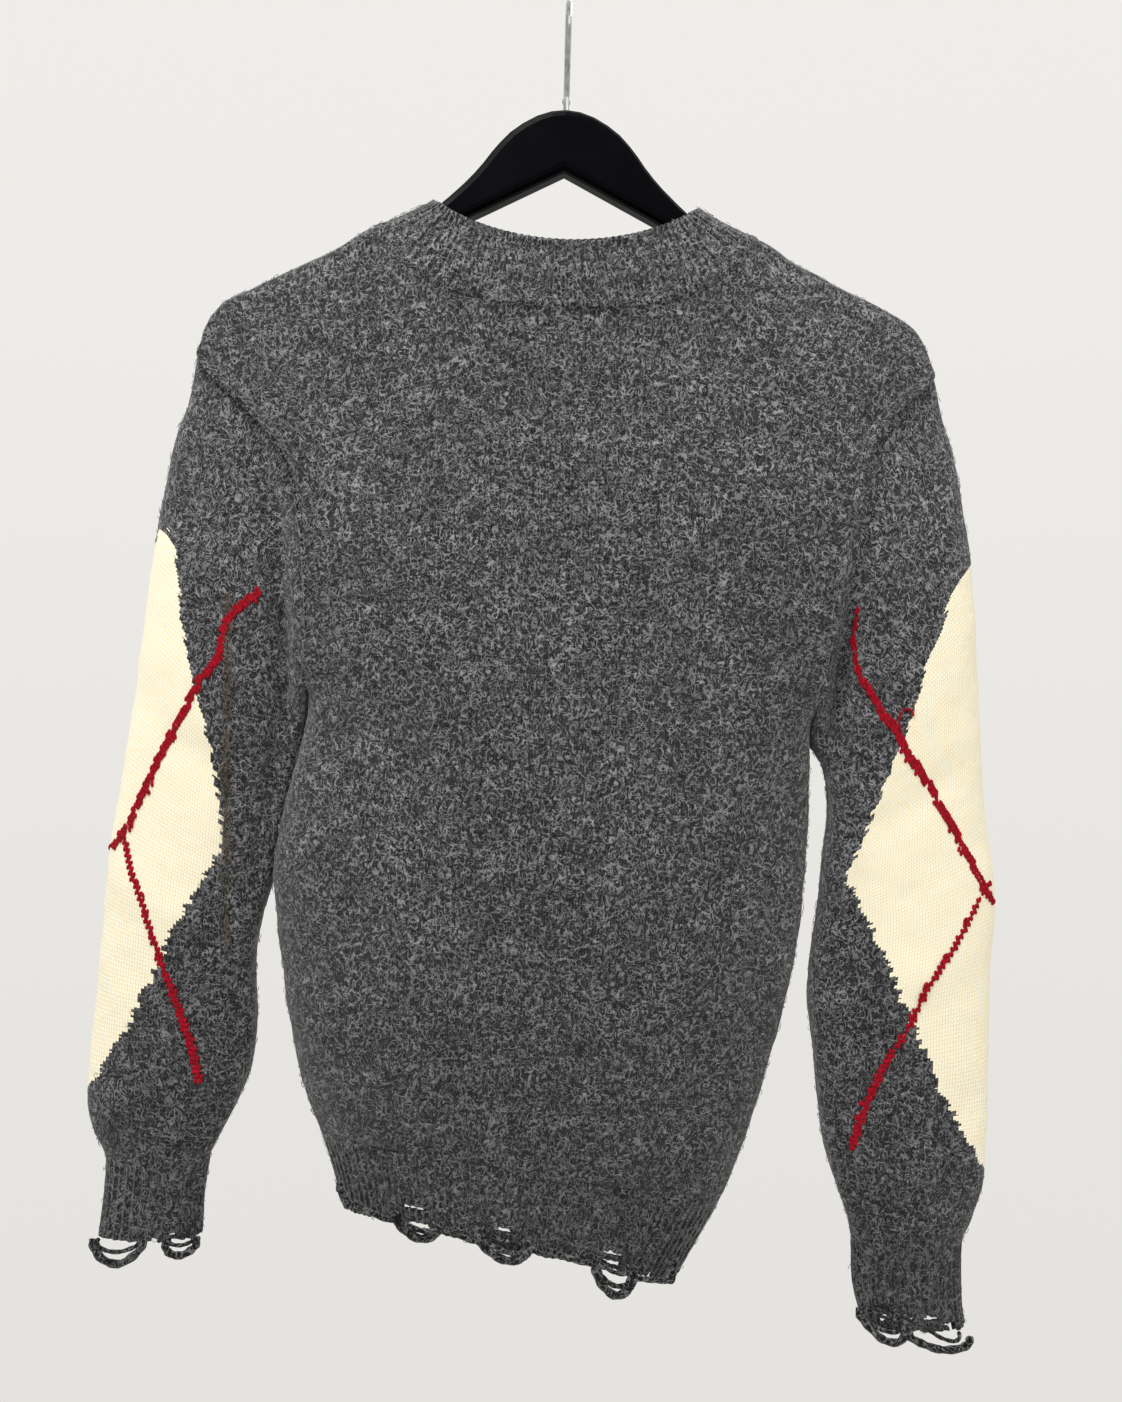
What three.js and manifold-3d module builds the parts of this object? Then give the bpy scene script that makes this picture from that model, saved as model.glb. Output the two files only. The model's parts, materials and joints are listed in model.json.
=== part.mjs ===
// A laddered wool jumper hanging by its shoulders on a shaped hanger.
// Millimetres, +Z up. The origin is where the hook rests on its rail, and the
// jumper's back faces -Y, so +X is the wearer's right.
import * as THREE from 'three';
import { mergeVertices } from 'three/addons/utils/BufferGeometryUtils.js';
import Module from 'manifold-3d';

const wasm = await Module();
wasm.setup();

// ---------------------------------------------------------------- driving sizes
const WALL = 2.5; // the knitted cloth's thickness
const SEAM_GAP = 0.4; // between two pieces at a seam
const LEAN = 0.032; // the hanger hangs lower towards +X, mm for each mm
const SWAY = -1.8; // the garment's middle stands this far from the hook's top

const NECK_HALF = 112.5; // half the neckline's width, at the shoulder
const COLLAR_HALF = 80; // half the width of the collar's upper edge
const RIDGE_RADIUS = 14; // the cloth's bend over the hanger's arm
const RIDGE_SEAM = THREE.MathUtils.degToRad(40); // the shoulder seam, round that bend
const SIDE_Y = 3; // the plane of the side seams

// Heights of the left (-X) and right (+X) sides.
const HEM_EDGE = [-718, -762];
const HEM_SEAM = [-672, -712];
const UNDERARM = [-404, -420];
const CUFF_SEAM = [-688, -736];
const CUFF_EDGE = [-737, -791];
const HEM_ARCH = 4; // the hem rises this much at mid back

const SHOULDER_COLUMNS = 5;
const NECK_COLUMNS = 10;
const ARMHOLE_ROWS = 8;

const WOOL = { color: 0x4b4d50, roughness: 0.95, metalness: 0 };
const RIB = { color: 0x44464a, roughness: 0.95, metalness: 0 };
const CREAM_WOOL = { color: 0x7d7869, roughness: 0.9, metalness: 0 };

// ---------------------------------------------------------------- small helpers
const lerp = THREE.MathUtils.lerp;
const at = (x, y, z) => new THREE.Vector3(x, y, z);

// A smooth curve through [place, value] pairs, level past its ends.
function through(pairs) {
  const points = [...pairs].sort((a, b) => a[0] - b[0]);
  const last = points.length - 1;
  const slopes = points.map((point, i) => {
    const before = points[Math.max(i - 1, 0)];
    const after = points[Math.min(i + 1, last)];
    return (after[1] - before[1]) / (after[0] - before[0]);
  });
  return (place) => {
    if (place <= points[0][0]) return points[0][1];
    if (place >= points[last][0]) return points[last][1];
    const i = points.findIndex((point) => point[0] > place) - 1;
    const span = points[i + 1][0] - points[i][0];
    const t = (place - points[i][0]) / span;
    const rise = points[i + 1][1] - points[i][1];
    const bend = t * (1 - t);
    const pull = (1 - t) * (slopes[i] * span - rise) - t * (slopes[i + 1] * span - rise);
    return lerp(points[i][1], points[i + 1][1], t) + bend * pull;
  };
}

// ---------------------------------------------------------------- the outlines
// The shoulder line, from the neck to the sleeve head, before the lean.
const ridge = through([
  [0, -132], [112.5, -135], [135, -148], [168, -164.5], [189, -175], [204, -183],
  [212, -191.5], [216, -199], [219, -208],
]);
// Side seams, from hem to underarm: x at each height.
const sideSeam = [
  through([
    [-718, -134], [-685, -143], [-644, -158], [-598, -167], [-546, -173], [-511, -175],
    [-475, -168], [-440, -158], [-411, -153], [-404, -158],
  ]),
  through([
    [-762, 65], [-724, 87], [-688, 104], [-631, 122], [-580, 135], [-535, 142],
    [-484, 145], [-428, 146], [-420, 150],
  ]),
];
// How far the cloth stands out at mid back and mid front.
const backDepth = through([
  [-762, -18], [-690, -24], [-600, -31], [-500, -35], [-400, -34], [-300, -30],
  [-230, -26], [-186, -24],
]);
const frontDepth = through([
  [-762, 22], [-690, 30], [-600, 38], [-500, 42], [-400, 40], [-300, 36], [-226, 30],
]);
// Necklines and the collar's upper edge: height and depth for each distance from
// the middle.
const neckline = {
  back: {
    z: through([[0, -186], [30, -185], [60, -180], [85, -169], [102, -155], [112.5, -140]]),
    y: through([[0, -24], [60, -22.5], [85, -20], [102, -15.5], [112.5, -10.7]]),
  },
  front: {
    z: through([[0, -226], [30, -222], [60, -208], [85, -186], [102, -163], [112.5, -140]]),
    y: through([[0, 30], [60, 26], [85, 21], [102, 16], [112.5, 10.7]]),
  },
};
const COLLAR_TOP = -117.5; // at the shoulders
const COLLAR_DIP = { back: 28.5, front: 62 };
const COLLAR_SWEEP = { back: 1.5, front: 2.2 };
const COLLAR_DEPTH = { back: 21, front: 25 };
const COLLAR_CORNER = THREE.MathUtils.degToRad(20);

// Armholes: x, distance from the mid plane, height; from the underarm to the
// shoulder seam's end.
const armholePath = [
  [
    [-158, 3, -404], [-155, 19, -397], [-150, 28, -366], [-151, 31, -325],
    [-157, 30, -285], [-170, 27, -257], [-190, 22, -235], [-207, 16, -218],
    [-217, 10.7, -206],
  ],
  [
    [150, 3, -420], [151, 19, -412], [153, 28, -378], [160, 31, -333], [168, 30, -290],
    [176, 27, -260], [191, 22, -242], [207, 16, -229], [217, 10.7, -220],
  ],
];
const armholeTip = [at(-219, 0, -201), at(219, 0, -215)];

// Sleeves: x of the outer fold and of the inner fold at each height.
const outerFold = [
  through([
    [-201, -219], [-235, -226], [-251, -232], [-295, -242], [-358, -252], [-415, -260],
    [-461, -268], [-503, -275], [-554, -280], [-605, -285], [-651, -289], [-672, -286],
    [-690, -278], [-709, -278.5], [-737, -282],
  ]),
  through([
    [-215, 219], [-237, 223], [-268, 232], [-319, 241], [-346, 244], [-415, 248],
    [-484, 253], [-529, 259], [-583, 256], [-641, 255], [-704, 252], [-728, 245],
    [-741, 239], [-779, 239], [-793, 241],
  ]),
];
const innerFold = [
  through([
    [-404, -158], [-411, -163], [-440, -166], [-475, -172], [-511, -179], [-551, -187],
    [-575, -188], [-605, -187], [-635, -190], [-651, -196], [-673, -207], [-688, -215],
    [-707, -219], [-737, -221],
  ]),
  through([
    [-420, 150], [-430, 154], [-458, 160], [-505, 156], [-547, 151], [-592, 146],
    [-621, 149], [-682, 156], [-708, 164], [-736, 172], [-767, 174], [-791, 180],
  ]),
];
// A sleeve's half depth, and its middle's, by the share of its length.
const sleeveDepth = through([
  [0, 30], [0.2, 31], [0.45, 28], [0.7, 24], [0.9, 19], [1, 15], [1.12, 14],
]);
const sleeveMiddle = through([[0, 2], [0.3, 5], [0.6, 8], [1.12, 8]]);

// ---------------------------------------------------------------- torso surface
// Columns run from the left side seam, -1, to the right one, +1, and close up
// towards the seams.
const neckTurn = Math.asin(NECK_HALF / 219) / (Math.PI / 2);
const columns = [];
for (let i = 0; i < SHOULDER_COLUMNS; i += 1) {
  columns.push(lerp(-1, -neckTurn, i / SHOULDER_COLUMNS));
}
for (let i = 0; i < NECK_COLUMNS; i += 1) {
  columns.push(lerp(-neckTurn, neckTurn, i / NECK_COLUMNS));
}
for (let i = 0; i <= SHOULDER_COLUMNS; i += 1) {
  columns.push(lerp(neckTurn, 1, i / SHOULDER_COLUMNS));
}
const neckStart = SHOULDER_COLUMNS;
const neckEnd = SHOULDER_COLUMNS + NECK_COLUMNS;
const across = (column) => (1 + Math.sin((column * Math.PI) / 2)) / 2;
const crown = (column, power = 0.8) => Math.max(Math.cos((column * Math.PI) / 2), 0) ** power;

// The torso below the underarm. The height goes from the hem's edge, 0, to the
// underarm, 1.
function torso(height, column, face) {
  const ends = [0, 1].map((side) => lerp(HEM_EDGE[side], UNDERARM[side], height));
  const share = across(column);
  const x = lerp(sideSeam[0](ends[0]), sideSeam[1](ends[1]), share);
  const arch = HEM_ARCH * (1 - height) ** 2 * crown(column);
  const z = lerp(ends[0], ends[1], share) + arch;
  const depth = face === 'back' ? backDepth(z) : frontDepth(z);
  // The panel is fuller near the underarm, where it runs on into the yoke.
  return at(x, lerp(SIDE_Y, depth, crown(column, lerp(0.8, 0.35, height ** 4))), z);
}

function armhole(side, face, row) {
  const sign = face === 'back' ? -1 : 1;
  const [x, y, z] = armholePath[side][row];
  return at(x, row === 0 ? SIDE_Y : sign * y, z);
}

// The upper edge of a panel: shoulder seam, neckline, shoulder seam.
function topEdge(column, face) {
  const x = lerp(-217, 217, across(column));
  const reach = Math.min(Math.abs(x), 219);
  const sign = face === 'back' ? -1 : 1;
  const inNeck = Math.abs(column) < neckTurn - 1e-6;
  if (inNeck) {
    const curve = neckline[face];
    return at(x, curve.y(reach), curve.z(reach) - LEAN * x);
  }
  const drop = RIDGE_RADIUS * (1 - Math.sin(RIDGE_SEAM));
  const y = sign * RIDGE_RADIUS * Math.cos(RIDGE_SEAM);
  return at(x, y, ridge(reach) - drop - LEAN * x);
}

// The torso between underarm and shoulder.
function yoke(row, column, face) {
  if (row === ARMHOLE_ROWS && Math.abs(column) < 1) return topEdge(column, face);
  const left = armhole(0, face, row);
  const right = armhole(1, face, row);
  const share = across(column);
  const point = left.clone().lerp(right, share);
  const rise = row / ARMHOLE_ROWS;
  const top = topEdge(column, face);
  const chord = lerp(
    armhole(0, face, ARMHOLE_ROWS).z,
    armhole(1, face, ARMHOLE_ROWS).z,
    share,
  );
  const edges = Math.abs(column) === 1 ? 0 : 1;
  point.z += edges * (top.z - chord) * rise ** 1.2;
  const depth = face === 'back' ? backDepth(point.z) : frontDepth(point.z);
  const full = lerp(point.y, depth, crown(column));
  point.y = edges ? lerp(full, top.y, rise ** 3) : point.y;
  return point;
}

// The front panel goes on over the hanger's arm to the seam behind it.
function overShoulder(step, column) {
  if (Math.abs(column) === 1) {
    const side = column < 0 ? 0 : 1;
    if (step === 1) return armholeTip[side].clone();
    return armhole(side, 'back', ARMHOLE_ROWS);
  }
  const seam = topEdge(column, 'back');
  if (step === 2) return topEdge(Math.abs(column) < neckTurn ? neckTurn : column, 'back');
  return at(seam.x, 0, ridge(Math.abs(seam.x)) - LEAN * seam.x);
}

// ---------------------------------------------------------------- cloth walls
// A cloth piece is a grid of points on its outer face. Where pieces share a
// point, they share its normal, and each edge is drawn back by half the gap.
const pieces = [];

function piece(name, grid, { part, round = false, skip = () => false, look = WOOL }) {
  const width = grid[0].length;
  const wrap = (j) => (round ? j % width : j);
  const cells = [];
  for (let i = 0; i + 1 < grid.length; i += 1) {
    for (let j = 0; j < (round ? width : width - 1); j += 1) {
      if (!skip(i, j)) {
        cells.push([[i, j], [i, wrap(j + 1)], [i + 1, wrap(j + 1)], [i + 1, j]]);
      }
    }
  }
  const made = { name, part, grid, cells, width, look };
  pieces.push(made);
  return made;
}

const place = (point) => point.toArray().map((value) => value.toFixed(2)).join();

// Each part of the garment counts once in the normal of a shared point.
function addNormals(made, shared) {
  for (const cell of made.cells) {
    const [a, b, c, d] = cell.map(([i, j]) => made.grid[i][j]);
    const normal = c.clone().sub(a).cross(d.clone().sub(b));
    for (const [i, j] of cell) {
      const key = place(made.grid[i][j]);
      if (!shared.has(key)) shared.set(key, {});
      const parts = shared.get(key);
      if (!parts[made.part]) parts[made.part] = at(0, 0, 0);
      parts[made.part].add(normal);
    }
  }
}

function sharedNormal(point, shared) {
  const normal = at(0, 0, 0);
  Object.values(shared.get(place(point))).forEach((sum) => {
    normal.add(sum.clone().normalize());
  });
  return normal.normalize();
}

function clothGeometry(made, shared) {
  const { grid, cells, width } = made;
  const index = ([i, j]) => i * width + j;
  const used = new Map();
  const edges = new Map();
  for (const cell of cells) {
    cell.forEach((corner, k) => {
      const next = cell[(k + 1) % 4];
      const back = `${index(next)}-${index(corner)}`;
      if (edges.has(back)) edges.delete(back);
      else edges.set(`${index(corner)}-${index(next)}`, [corner, next]);
      used.set(index(corner), grid[corner[0]][corner[1]]);
    });
  }
  const rims = new Map();
  for (const ends of edges.values()) {
    const [from, to] = ends.map(index);
    const way = used.get(to).clone().sub(used.get(from));
    [from, to].forEach((key) => rims.set(key, [...(rims.get(key) ?? []), way]));
  }
  const outer = new Map();
  const inner = new Map();
  for (const [key, point] of used) {
    const normal = sharedNormal(point, shared);
    const drawn = point.clone();
    if (rims.has(key)) {
      const inwards = at(0, 0, 0);
      rims.get(key).forEach((way) => inwards.add(normal.clone().cross(way).normalize()));
      drawn.addScaledVector(inwards, SEAM_GAP / Math.max(inwards.lengthSq(), 0.8));
    }
    outer.set(key, drawn);
    inner.set(key, drawn.clone().addScaledVector(normal, -WALL));
  }
  const triangles = [];
  const quad = (a, b, c, d) => triangles.push(a, b, c, a, c, d);
  for (const cell of cells) {
    const [a, b, c, d] = cell.map(index);
    quad(outer.get(a), outer.get(b), outer.get(c), outer.get(d));
    quad(inner.get(a), inner.get(d), inner.get(c), inner.get(b));
  }
  // Facing edge walls split along the same diagonal, from the lower end up.
  for (const ends of edges.values()) {
    const [a, b] = ends.map(index);
    const rise = used.get(b).z - used.get(a).z;
    const upwards = Math.abs(rise) > 1e-3 ? rise > 0 : used.get(b).x > used.get(a).x;
    if (upwards) quad(outer.get(a), inner.get(a), inner.get(b), outer.get(b));
    else quad(outer.get(b), outer.get(a), inner.get(a), inner.get(b));
  }
  const soup = new THREE.BufferGeometry().setFromPoints(triangles);
  return mergeVertices(soup, 1e-5);
}

// ---------------------------------------------------------------- joins and cuts
function solid(geometry) {
  const plain = geometry.clone();
  plain.deleteAttribute('normal');
  plain.deleteAttribute('uv');
  const merged = mergeVertices(plain, 1e-5);
  return new wasm.Manifold(new wasm.Mesh({
    numProp: 3,
    vertProperties: merged.attributes.position.array,
    triVerts: new Uint32Array(merged.index.array),
  }));
}

function geometryOf(manifold) {
  const mesh = manifold.getMesh();
  const geometry = new THREE.BufferGeometry();
  geometry.setAttribute('position', new THREE.BufferAttribute(mesh.vertProperties, 3));
  geometry.setIndex(new THREE.BufferAttribute(mesh.triVerts, 1));
  return geometry;
}

// A round strand along a curve.
function strand(points, radius, sides, steps) {
  const section = new THREE.Shape();
  for (let i = 0; i < sides; i += 1) {
    const turn = (2 * Math.PI * i) / sides;
    const corner = [radius * Math.cos(turn), radius * Math.sin(turn)];
    if (i === 0) section.moveTo(...corner);
    else section.lineTo(...corner);
  }
  section.closePath();
  return new THREE.ExtrudeGeometry(section, {
    steps,
    curveSegments: 1,
    extrudePath: new THREE.CatmullRomCurve3(points),
  });
}

// ---------------------------------------------------------------- torso pieces
const seamShare = (HEM_SEAM[0] - HEM_EDGE[0]) / (UNDERARM[0] - HEM_EDGE[0]);
const hemRows = [0, 0.34, 0.67, 1].map((share) => share * seamShare);
const torsoRows = [0, 0.16, 0.32, 0.48, 0.62, 0.75, 0.87, 0.965, 1]
  .map((share) => lerp(seamShare, 1, share));

// Seen from outside, columns run to the right and rows up, so the front's
// columns are turned round.
const facing = { back: columns, front: [...columns].reverse() };

for (const face of ['back', 'front']) {
  const hem = hemRows.map((row) => facing[face].map((column) => torso(row, column, face)));
  piece(`hem_rib_${face}`, hem, { part: 'torso', look: RIB });
}

const backGrid = torsoRows.map((row) => facing.back.map((column) => torso(row, column, 'back')));
for (let row = 1; row <= ARMHOLE_ROWS; row += 1) {
  backGrid.push(facing.back.map((column) => yoke(row, column, 'back')));
}
piece('back_panel', backGrid, { part: 'torso' });

const frontGrid = torsoRows.map((row) => (
  facing.front.map((column) => torso(row, column, 'front'))));
for (let row = 1; row <= ARMHOLE_ROWS; row += 1) {
  frontGrid.push(facing.front.map((column) => yoke(row, column, 'front')));
}
const frontTop = frontGrid.length - 1;
for (let step = 1; step <= 2; step += 1) {
  frontGrid.push(facing.front.map((column) => overShoulder(step, column)));
}
const inNeck = (i, j) => i >= frontTop && j >= neckStart && j < neckEnd;
piece('front_panel', frontGrid, { part: 'torso', skip: inNeck });

// ---------------------------------------------------------------- collar
// The ribbed band starts on the neckline and leans in over the hanger's arms.
function collarBase() {
  const ring = [];
  for (let i = neckStart; i <= neckEnd; i += 1) ring.push(topEdge(columns[i], 'back'));
  const overRight = topEdge(neckTurn, 'back').x;
  ring.push(at(overRight, 0, ridge(overRight) - LEAN * overRight));
  for (let i = neckEnd; i >= neckStart; i -= 1) ring.push(topEdge(columns[i], 'front'));
  ring.push(at(-overRight, 0, ridge(overRight) + LEAN * overRight));
  return ring;
}

function collarTop() {
  const ring = [];
  for (const face of ['back', 'front']) {
    const way = face === 'back' ? -1 : 1;
    for (let i = 0; i <= NECK_COLUMNS; i += 1) {
      const turn = lerp(Math.PI - COLLAR_CORNER, COLLAR_CORNER, i / NECK_COLUMNS);
      const x = -way * COLLAR_HALF * Math.cos(turn);
      const dip = COLLAR_DIP[face] * Math.sin(turn) ** COLLAR_SWEEP[face];
      const y = way * COLLAR_DEPTH[face] * Math.sin(turn) ** 0.5;
      ring.push(at(x, y, COLLAR_TOP - dip - LEAN * x));
    }
    const x = -way * COLLAR_HALF;
    ring.push(at(x, 0, COLLAR_TOP - LEAN * x));
  }
  return ring;
}

const collarRings = [0, 0.35, 0.7, 1];
const collarLow = collarBase();
const collarHigh = collarTop();
const collarGrid = collarRings.map((share) => (
  collarLow.map((low, i) => {
    const point = low.clone().lerp(collarHigh[i], share);
    point.y *= 1 + 0.08 * Math.sin(Math.PI * share);
    point.z += 1.5 * Math.sin(Math.PI * share);
    return point;
  })));
piece('neck_rib', collarGrid, { part: 'collar', round: true, look: RIB });

// ---------------------------------------------------------------- sleeves
// Each ring runs from the inner fold along the back to the outer fold, and home
// along the front. The first ring is the armhole, and its shape fades out over
// the next few.
const RING_POINTS = 2 * ARMHOLE_ROWS + 2;
const FADE_RINGS = 6;

function armholeRing(side) {
  const ring = [];
  for (let row = 0; row <= ARMHOLE_ROWS; row += 1) ring.push(armhole(side, 'back', row));
  ring.push(armholeTip[side].clone());
  for (let row = ARMHOLE_ROWS; row > 0; row -= 1) ring.push(armhole(side, 'front', row));
  return ring;
}

function ovalRing(side, share) {
  const cuff = share > 1 ? (share - 1) / 0.12 : 0;
  const end = lerp(CUFF_SEAM[side], CUFF_EDGE[side], cuff);
  const outerZ = share > 1 ? end : lerp(armholeTip[side].z, CUFF_SEAM[side], share);
  const innerZ = share > 1 ? end : lerp(UNDERARM[side], CUFF_SEAM[side], share ** 1.5);
  const middle = sleeveMiddle(share);
  const inner = at(innerFold[side](innerZ), share === 0 ? SIDE_Y : middle, innerZ);
  const outer = at(outerFold[side](outerZ), share === 0 ? 0 : middle, outerZ);
  const ring = [];
  for (let i = 0; i < RING_POINTS; i += 1) {
    const turn = (2 * Math.PI * i) / RING_POINTS;
    const point = inner.clone().lerp(outer, (1 - Math.cos(turn)) / 2);
    const bulge = Math.abs(Math.sin(turn)) ** 0.85 * Math.sign(Math.sin(turn));
    point.y -= sleeveDepth(share) * bulge;
    ring.push(point);
  }
  return ring;
}

const sleeveShares = [0, 0.07, 0.14, 0.22, 0.3, 0.38, 0.46, 0.55, 0.64, 0.73, 0.81, 0.88, 0.95, 1];
const cuffShares = [1, 1.04, 1.08, 1.12];
// Strands hang from each cuff's back edge: [from, to] across it, and their drop.
const cuffLoops = [
  [[0.06, 0.46, 17], [0.56, 0.94, 9]],
  [[0.08, 0.5, 15], [0.58, 0.96, 13]],
];
const hemLoops = [[0.157, 0.289, 13], [0.407, 0.563, 12], [0.768, 0.877, 19]];
const STRAND_RADIUS = 2.4;

['left', 'right'].forEach((name, side) => {
  const first = armholeRing(side);
  const firstOval = ovalRing(side, 0);
  const rings = sleeveShares.map((share, k) => {
    const fade = Math.max(1 - k / FADE_RINGS, 0) ** 2;
    return ovalRing(side, share).map((point, i) => (
      point.addScaledVector(first[i].clone().sub(firstOval[i]), fade)));
  });
  // Rings on the +X side run the other way round, so both face outwards.
  const ordered = (ring) => (side === 1 ? [...ring].reverse() : ring);
  const part = `sleeve ${name}`;
  piece(`sleeve_${name}`, rings.map(ordered), { part, round: true, look: CREAM_WOOL });
  const cuff = cuffShares.map((share) => ordered(ovalRing(side, share)));
  piece(`cuff_${name}`, cuff, { part, round: true, look: RIB });
});

// ---------------------------------------------------------------- strands
// A loose strand leaves an edge, sags and comes back to it.
function loopBetween(from, to, drop) {
  const low = from.clone().lerp(to, 0.5);
  low.z -= drop;
  const points = [from, to].map((end) => end.clone().add(at(0, 0, 5)));
  const sides = [from, to].map((end) => end.clone().lerp(low, 0.5).add(at(0, 0, -drop * 0.28)));
  return strand([points[0], from, sides[0], low, sides[1], to, points[1]], STRAND_RADIUS, 8, 12);
}

function acrossRow(row, share) {
  const target = lerp(row[0].x, row[row.length - 1].x, share);
  const i = row.findIndex((point, k) => k > 0 && point.x >= target) - 1;
  const t = (target - row[i].x) / (row[i + 1].x - row[i].x);
  return row[i].clone().lerp(row[i + 1], t).add(at(0, WALL / 2, 0));
}

// ---------------------------------------------------------------- the model
const group = new THREE.Group();
const hanging = new THREE.Group();
hanging.position.x = SWAY;
group.add(hanging);

function addMesh(parent, name, geometry, look) {
  const mesh = new THREE.Mesh(geometry, new THREE.MeshStandardMaterial(look));
  mesh.name = name;
  parent.add(mesh);
  return mesh;
}

const shared = new Map();
pieces.forEach((made) => addNormals(made, shared));
const strandsOf = {
  hem_rib_back: () => hemLoops.map(([from, to, drop]) => {
    const row = pieces.find((made) => made.name === 'hem_rib_back').grid[0];
    return loopBetween(acrossRow(row, from), acrossRow(row, to), drop);
  }),
};
['left', 'right'].forEach((name, side) => {
  strandsOf[`cuff_${name}`] = () => cuffLoops[side].map(([from, to, drop]) => {
    const ring = ovalRing(side, 1.12).slice(0, RING_POINTS / 2 + 1);
    const row = side === 0 ? ring.reverse() : ring;
    return loopBetween(acrossRow(row, from), acrossRow(row, to), drop);
  });
});

for (const made of pieces) {
  let geometry = clothGeometry(made, shared);
  if (strandsOf[made.name]) {
    const joined = strandsOf[made.name]().reduce((sum, next) => sum.add(solid(next)), solid(geometry));
    geometry = geometryOf(joined);
  }
  addMesh(hanging, made.name, geometry, made.look);
}

// ---------------------------------------------------------------- hanger
const HANGER_TOP = -62.5;
const HANGER_HALF_DEPTH = 9;
const HANGER_BEVEL = 5;
const HANGER_TIP = 203;
const WIRE_RADIUS = 1.75;
const SOCKET_DEPTH = 14;

// The upper line of one arm, from the middle out: distance, height below the top.
const armTop = [
  [14, -3], [28, -11.5], [38, -22], [47, -34], [58, -46], [75, -61.5], [84, -67.5],
  [95, -73], [112, -82], [135, -92.5], [165, -108.5], [186, -119.5], [195, -125.5],
];
const ARM_UNDER = -37; // the underside, at the middle
const ARM_SLOPE = 0.52;
const TIP_TOP = -133;

function hangerOutline(inset) {
  const shape = new THREE.Shape();
  const under = (x) => ARM_UNDER - ARM_SLOPE * x;
  const top = new THREE.SplineCurve([
    ...armTop.map(([x, z]) => new THREE.Vector2(-x, z)).reverse(),
    new THREE.Vector2(0, 0),
    ...armTop.map(([x, z]) => new THREE.Vector2(x, z)),
  ]).getPoints(48).map((point) => point.add(new THREE.Vector2(0, -inset)));
  const tip = HANGER_TIP - inset;
  shape.moveTo(-tip, TIP_TOP);
  top.forEach((point) => shape.lineTo(point.x, point.y));
  shape.lineTo(tip, TIP_TOP);
  shape.lineTo(tip, under(tip) + inset);
  shape.lineTo(0, under(0) + inset);
  shape.lineTo(-tip, under(tip) + inset);
  shape.closePath();
  return shape;
}

const arms = new THREE.ExtrudeGeometry(hangerOutline(HANGER_BEVEL), {
  depth: 2 * (HANGER_HALF_DEPTH - HANGER_BEVEL),
  steps: 1,
  bevelEnabled: true,
  bevelThickness: HANGER_BEVEL,
  bevelSize: HANGER_BEVEL - 0.2,
  bevelSegments: 3,
});
arms.translate(0, 0, -(HANGER_HALF_DEPTH - HANGER_BEVEL));
arms.rotateX(Math.PI / 2);
const socket = new THREE.CylinderGeometry(WIRE_RADIUS + 0.35, WIRE_RADIUS + 0.35, 40, 16);
socket.rotateX(Math.PI / 2);
socket.translate(0, 0, 20 - SOCKET_DEPTH);
const armsSolid = solid(arms).subtract(solid(socket));
const hanger = addMesh(hanging, 'hanger_body', geometryOf(armsSolid), {
  color: 0x08080c,
  roughness: 0.35,
  metalness: 0,
});
hanger.position.z = HANGER_TOP;
hanger.rotation.y = Math.atan(LEAN);

// The wire goes up in front of the rail, over it, and ends in a bead behind it.
const HOOK_RADIUS = 17;
const HOOK_MIDDLE = WIRE_RADIUS - HOOK_RADIUS;
const BEAD_RADIUS = 2.8;
const bead = at(0, 15, -49);
const wire = [at(0, 0, HANGER_TOP - SOCKET_DEPTH + 0.8), at(0, 0, -58), at(0, 0, -50)];
wire.push(at(0, -4, -41), at(0, -12.5, -30));
for (let i = 0; i <= 6; i += 1) {
  const turn = Math.PI * (1 - i / 6);
  const y = HOOK_RADIUS * Math.cos(turn);
  wire.push(at(0, y, HOOK_MIDDLE + HOOK_RADIUS * Math.sin(turn)));
}
wire.push(at(0, 16.5, -32), bead.clone());
const ball = new THREE.SphereGeometry(BEAD_RADIUS, 12, 8);
ball.translate(...bead.toArray());
const hookSolid = solid(strand(wire, WIRE_RADIUS, 8, 34)).add(solid(ball));
const hook = addMesh(group, 'hanger_hook', geometryOf(hookSolid), {
  color: 0xb9bcc0,
  roughness: 0.18,
  metalness: 1,
});
hook.rotation.y = SWAY / HANGER_TOP;

export default group;
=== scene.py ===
"""A worn wool sweater on its hanger, seen from the back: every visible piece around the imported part."""
import json
import math
import random

import bmesh
import bpy
import numpy as np
from mathutils import Matrix, Vector, noise

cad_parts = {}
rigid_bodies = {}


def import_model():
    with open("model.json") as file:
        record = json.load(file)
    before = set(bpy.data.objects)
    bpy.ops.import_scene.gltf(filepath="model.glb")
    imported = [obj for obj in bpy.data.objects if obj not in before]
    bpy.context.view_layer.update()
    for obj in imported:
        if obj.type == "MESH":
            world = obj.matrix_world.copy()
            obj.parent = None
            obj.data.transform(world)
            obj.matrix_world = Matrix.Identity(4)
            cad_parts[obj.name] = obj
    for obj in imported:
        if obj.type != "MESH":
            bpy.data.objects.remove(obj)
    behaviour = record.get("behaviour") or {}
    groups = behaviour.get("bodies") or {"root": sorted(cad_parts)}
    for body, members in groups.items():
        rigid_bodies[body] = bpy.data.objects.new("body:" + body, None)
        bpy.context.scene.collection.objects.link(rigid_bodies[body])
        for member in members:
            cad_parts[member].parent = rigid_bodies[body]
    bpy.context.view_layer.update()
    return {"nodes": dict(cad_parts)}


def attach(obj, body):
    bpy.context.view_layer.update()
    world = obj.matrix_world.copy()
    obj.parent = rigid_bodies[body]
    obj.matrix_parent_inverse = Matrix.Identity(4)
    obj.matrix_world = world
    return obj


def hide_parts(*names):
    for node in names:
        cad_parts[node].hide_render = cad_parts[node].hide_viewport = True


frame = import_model()
scene = bpy.context.scene

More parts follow.
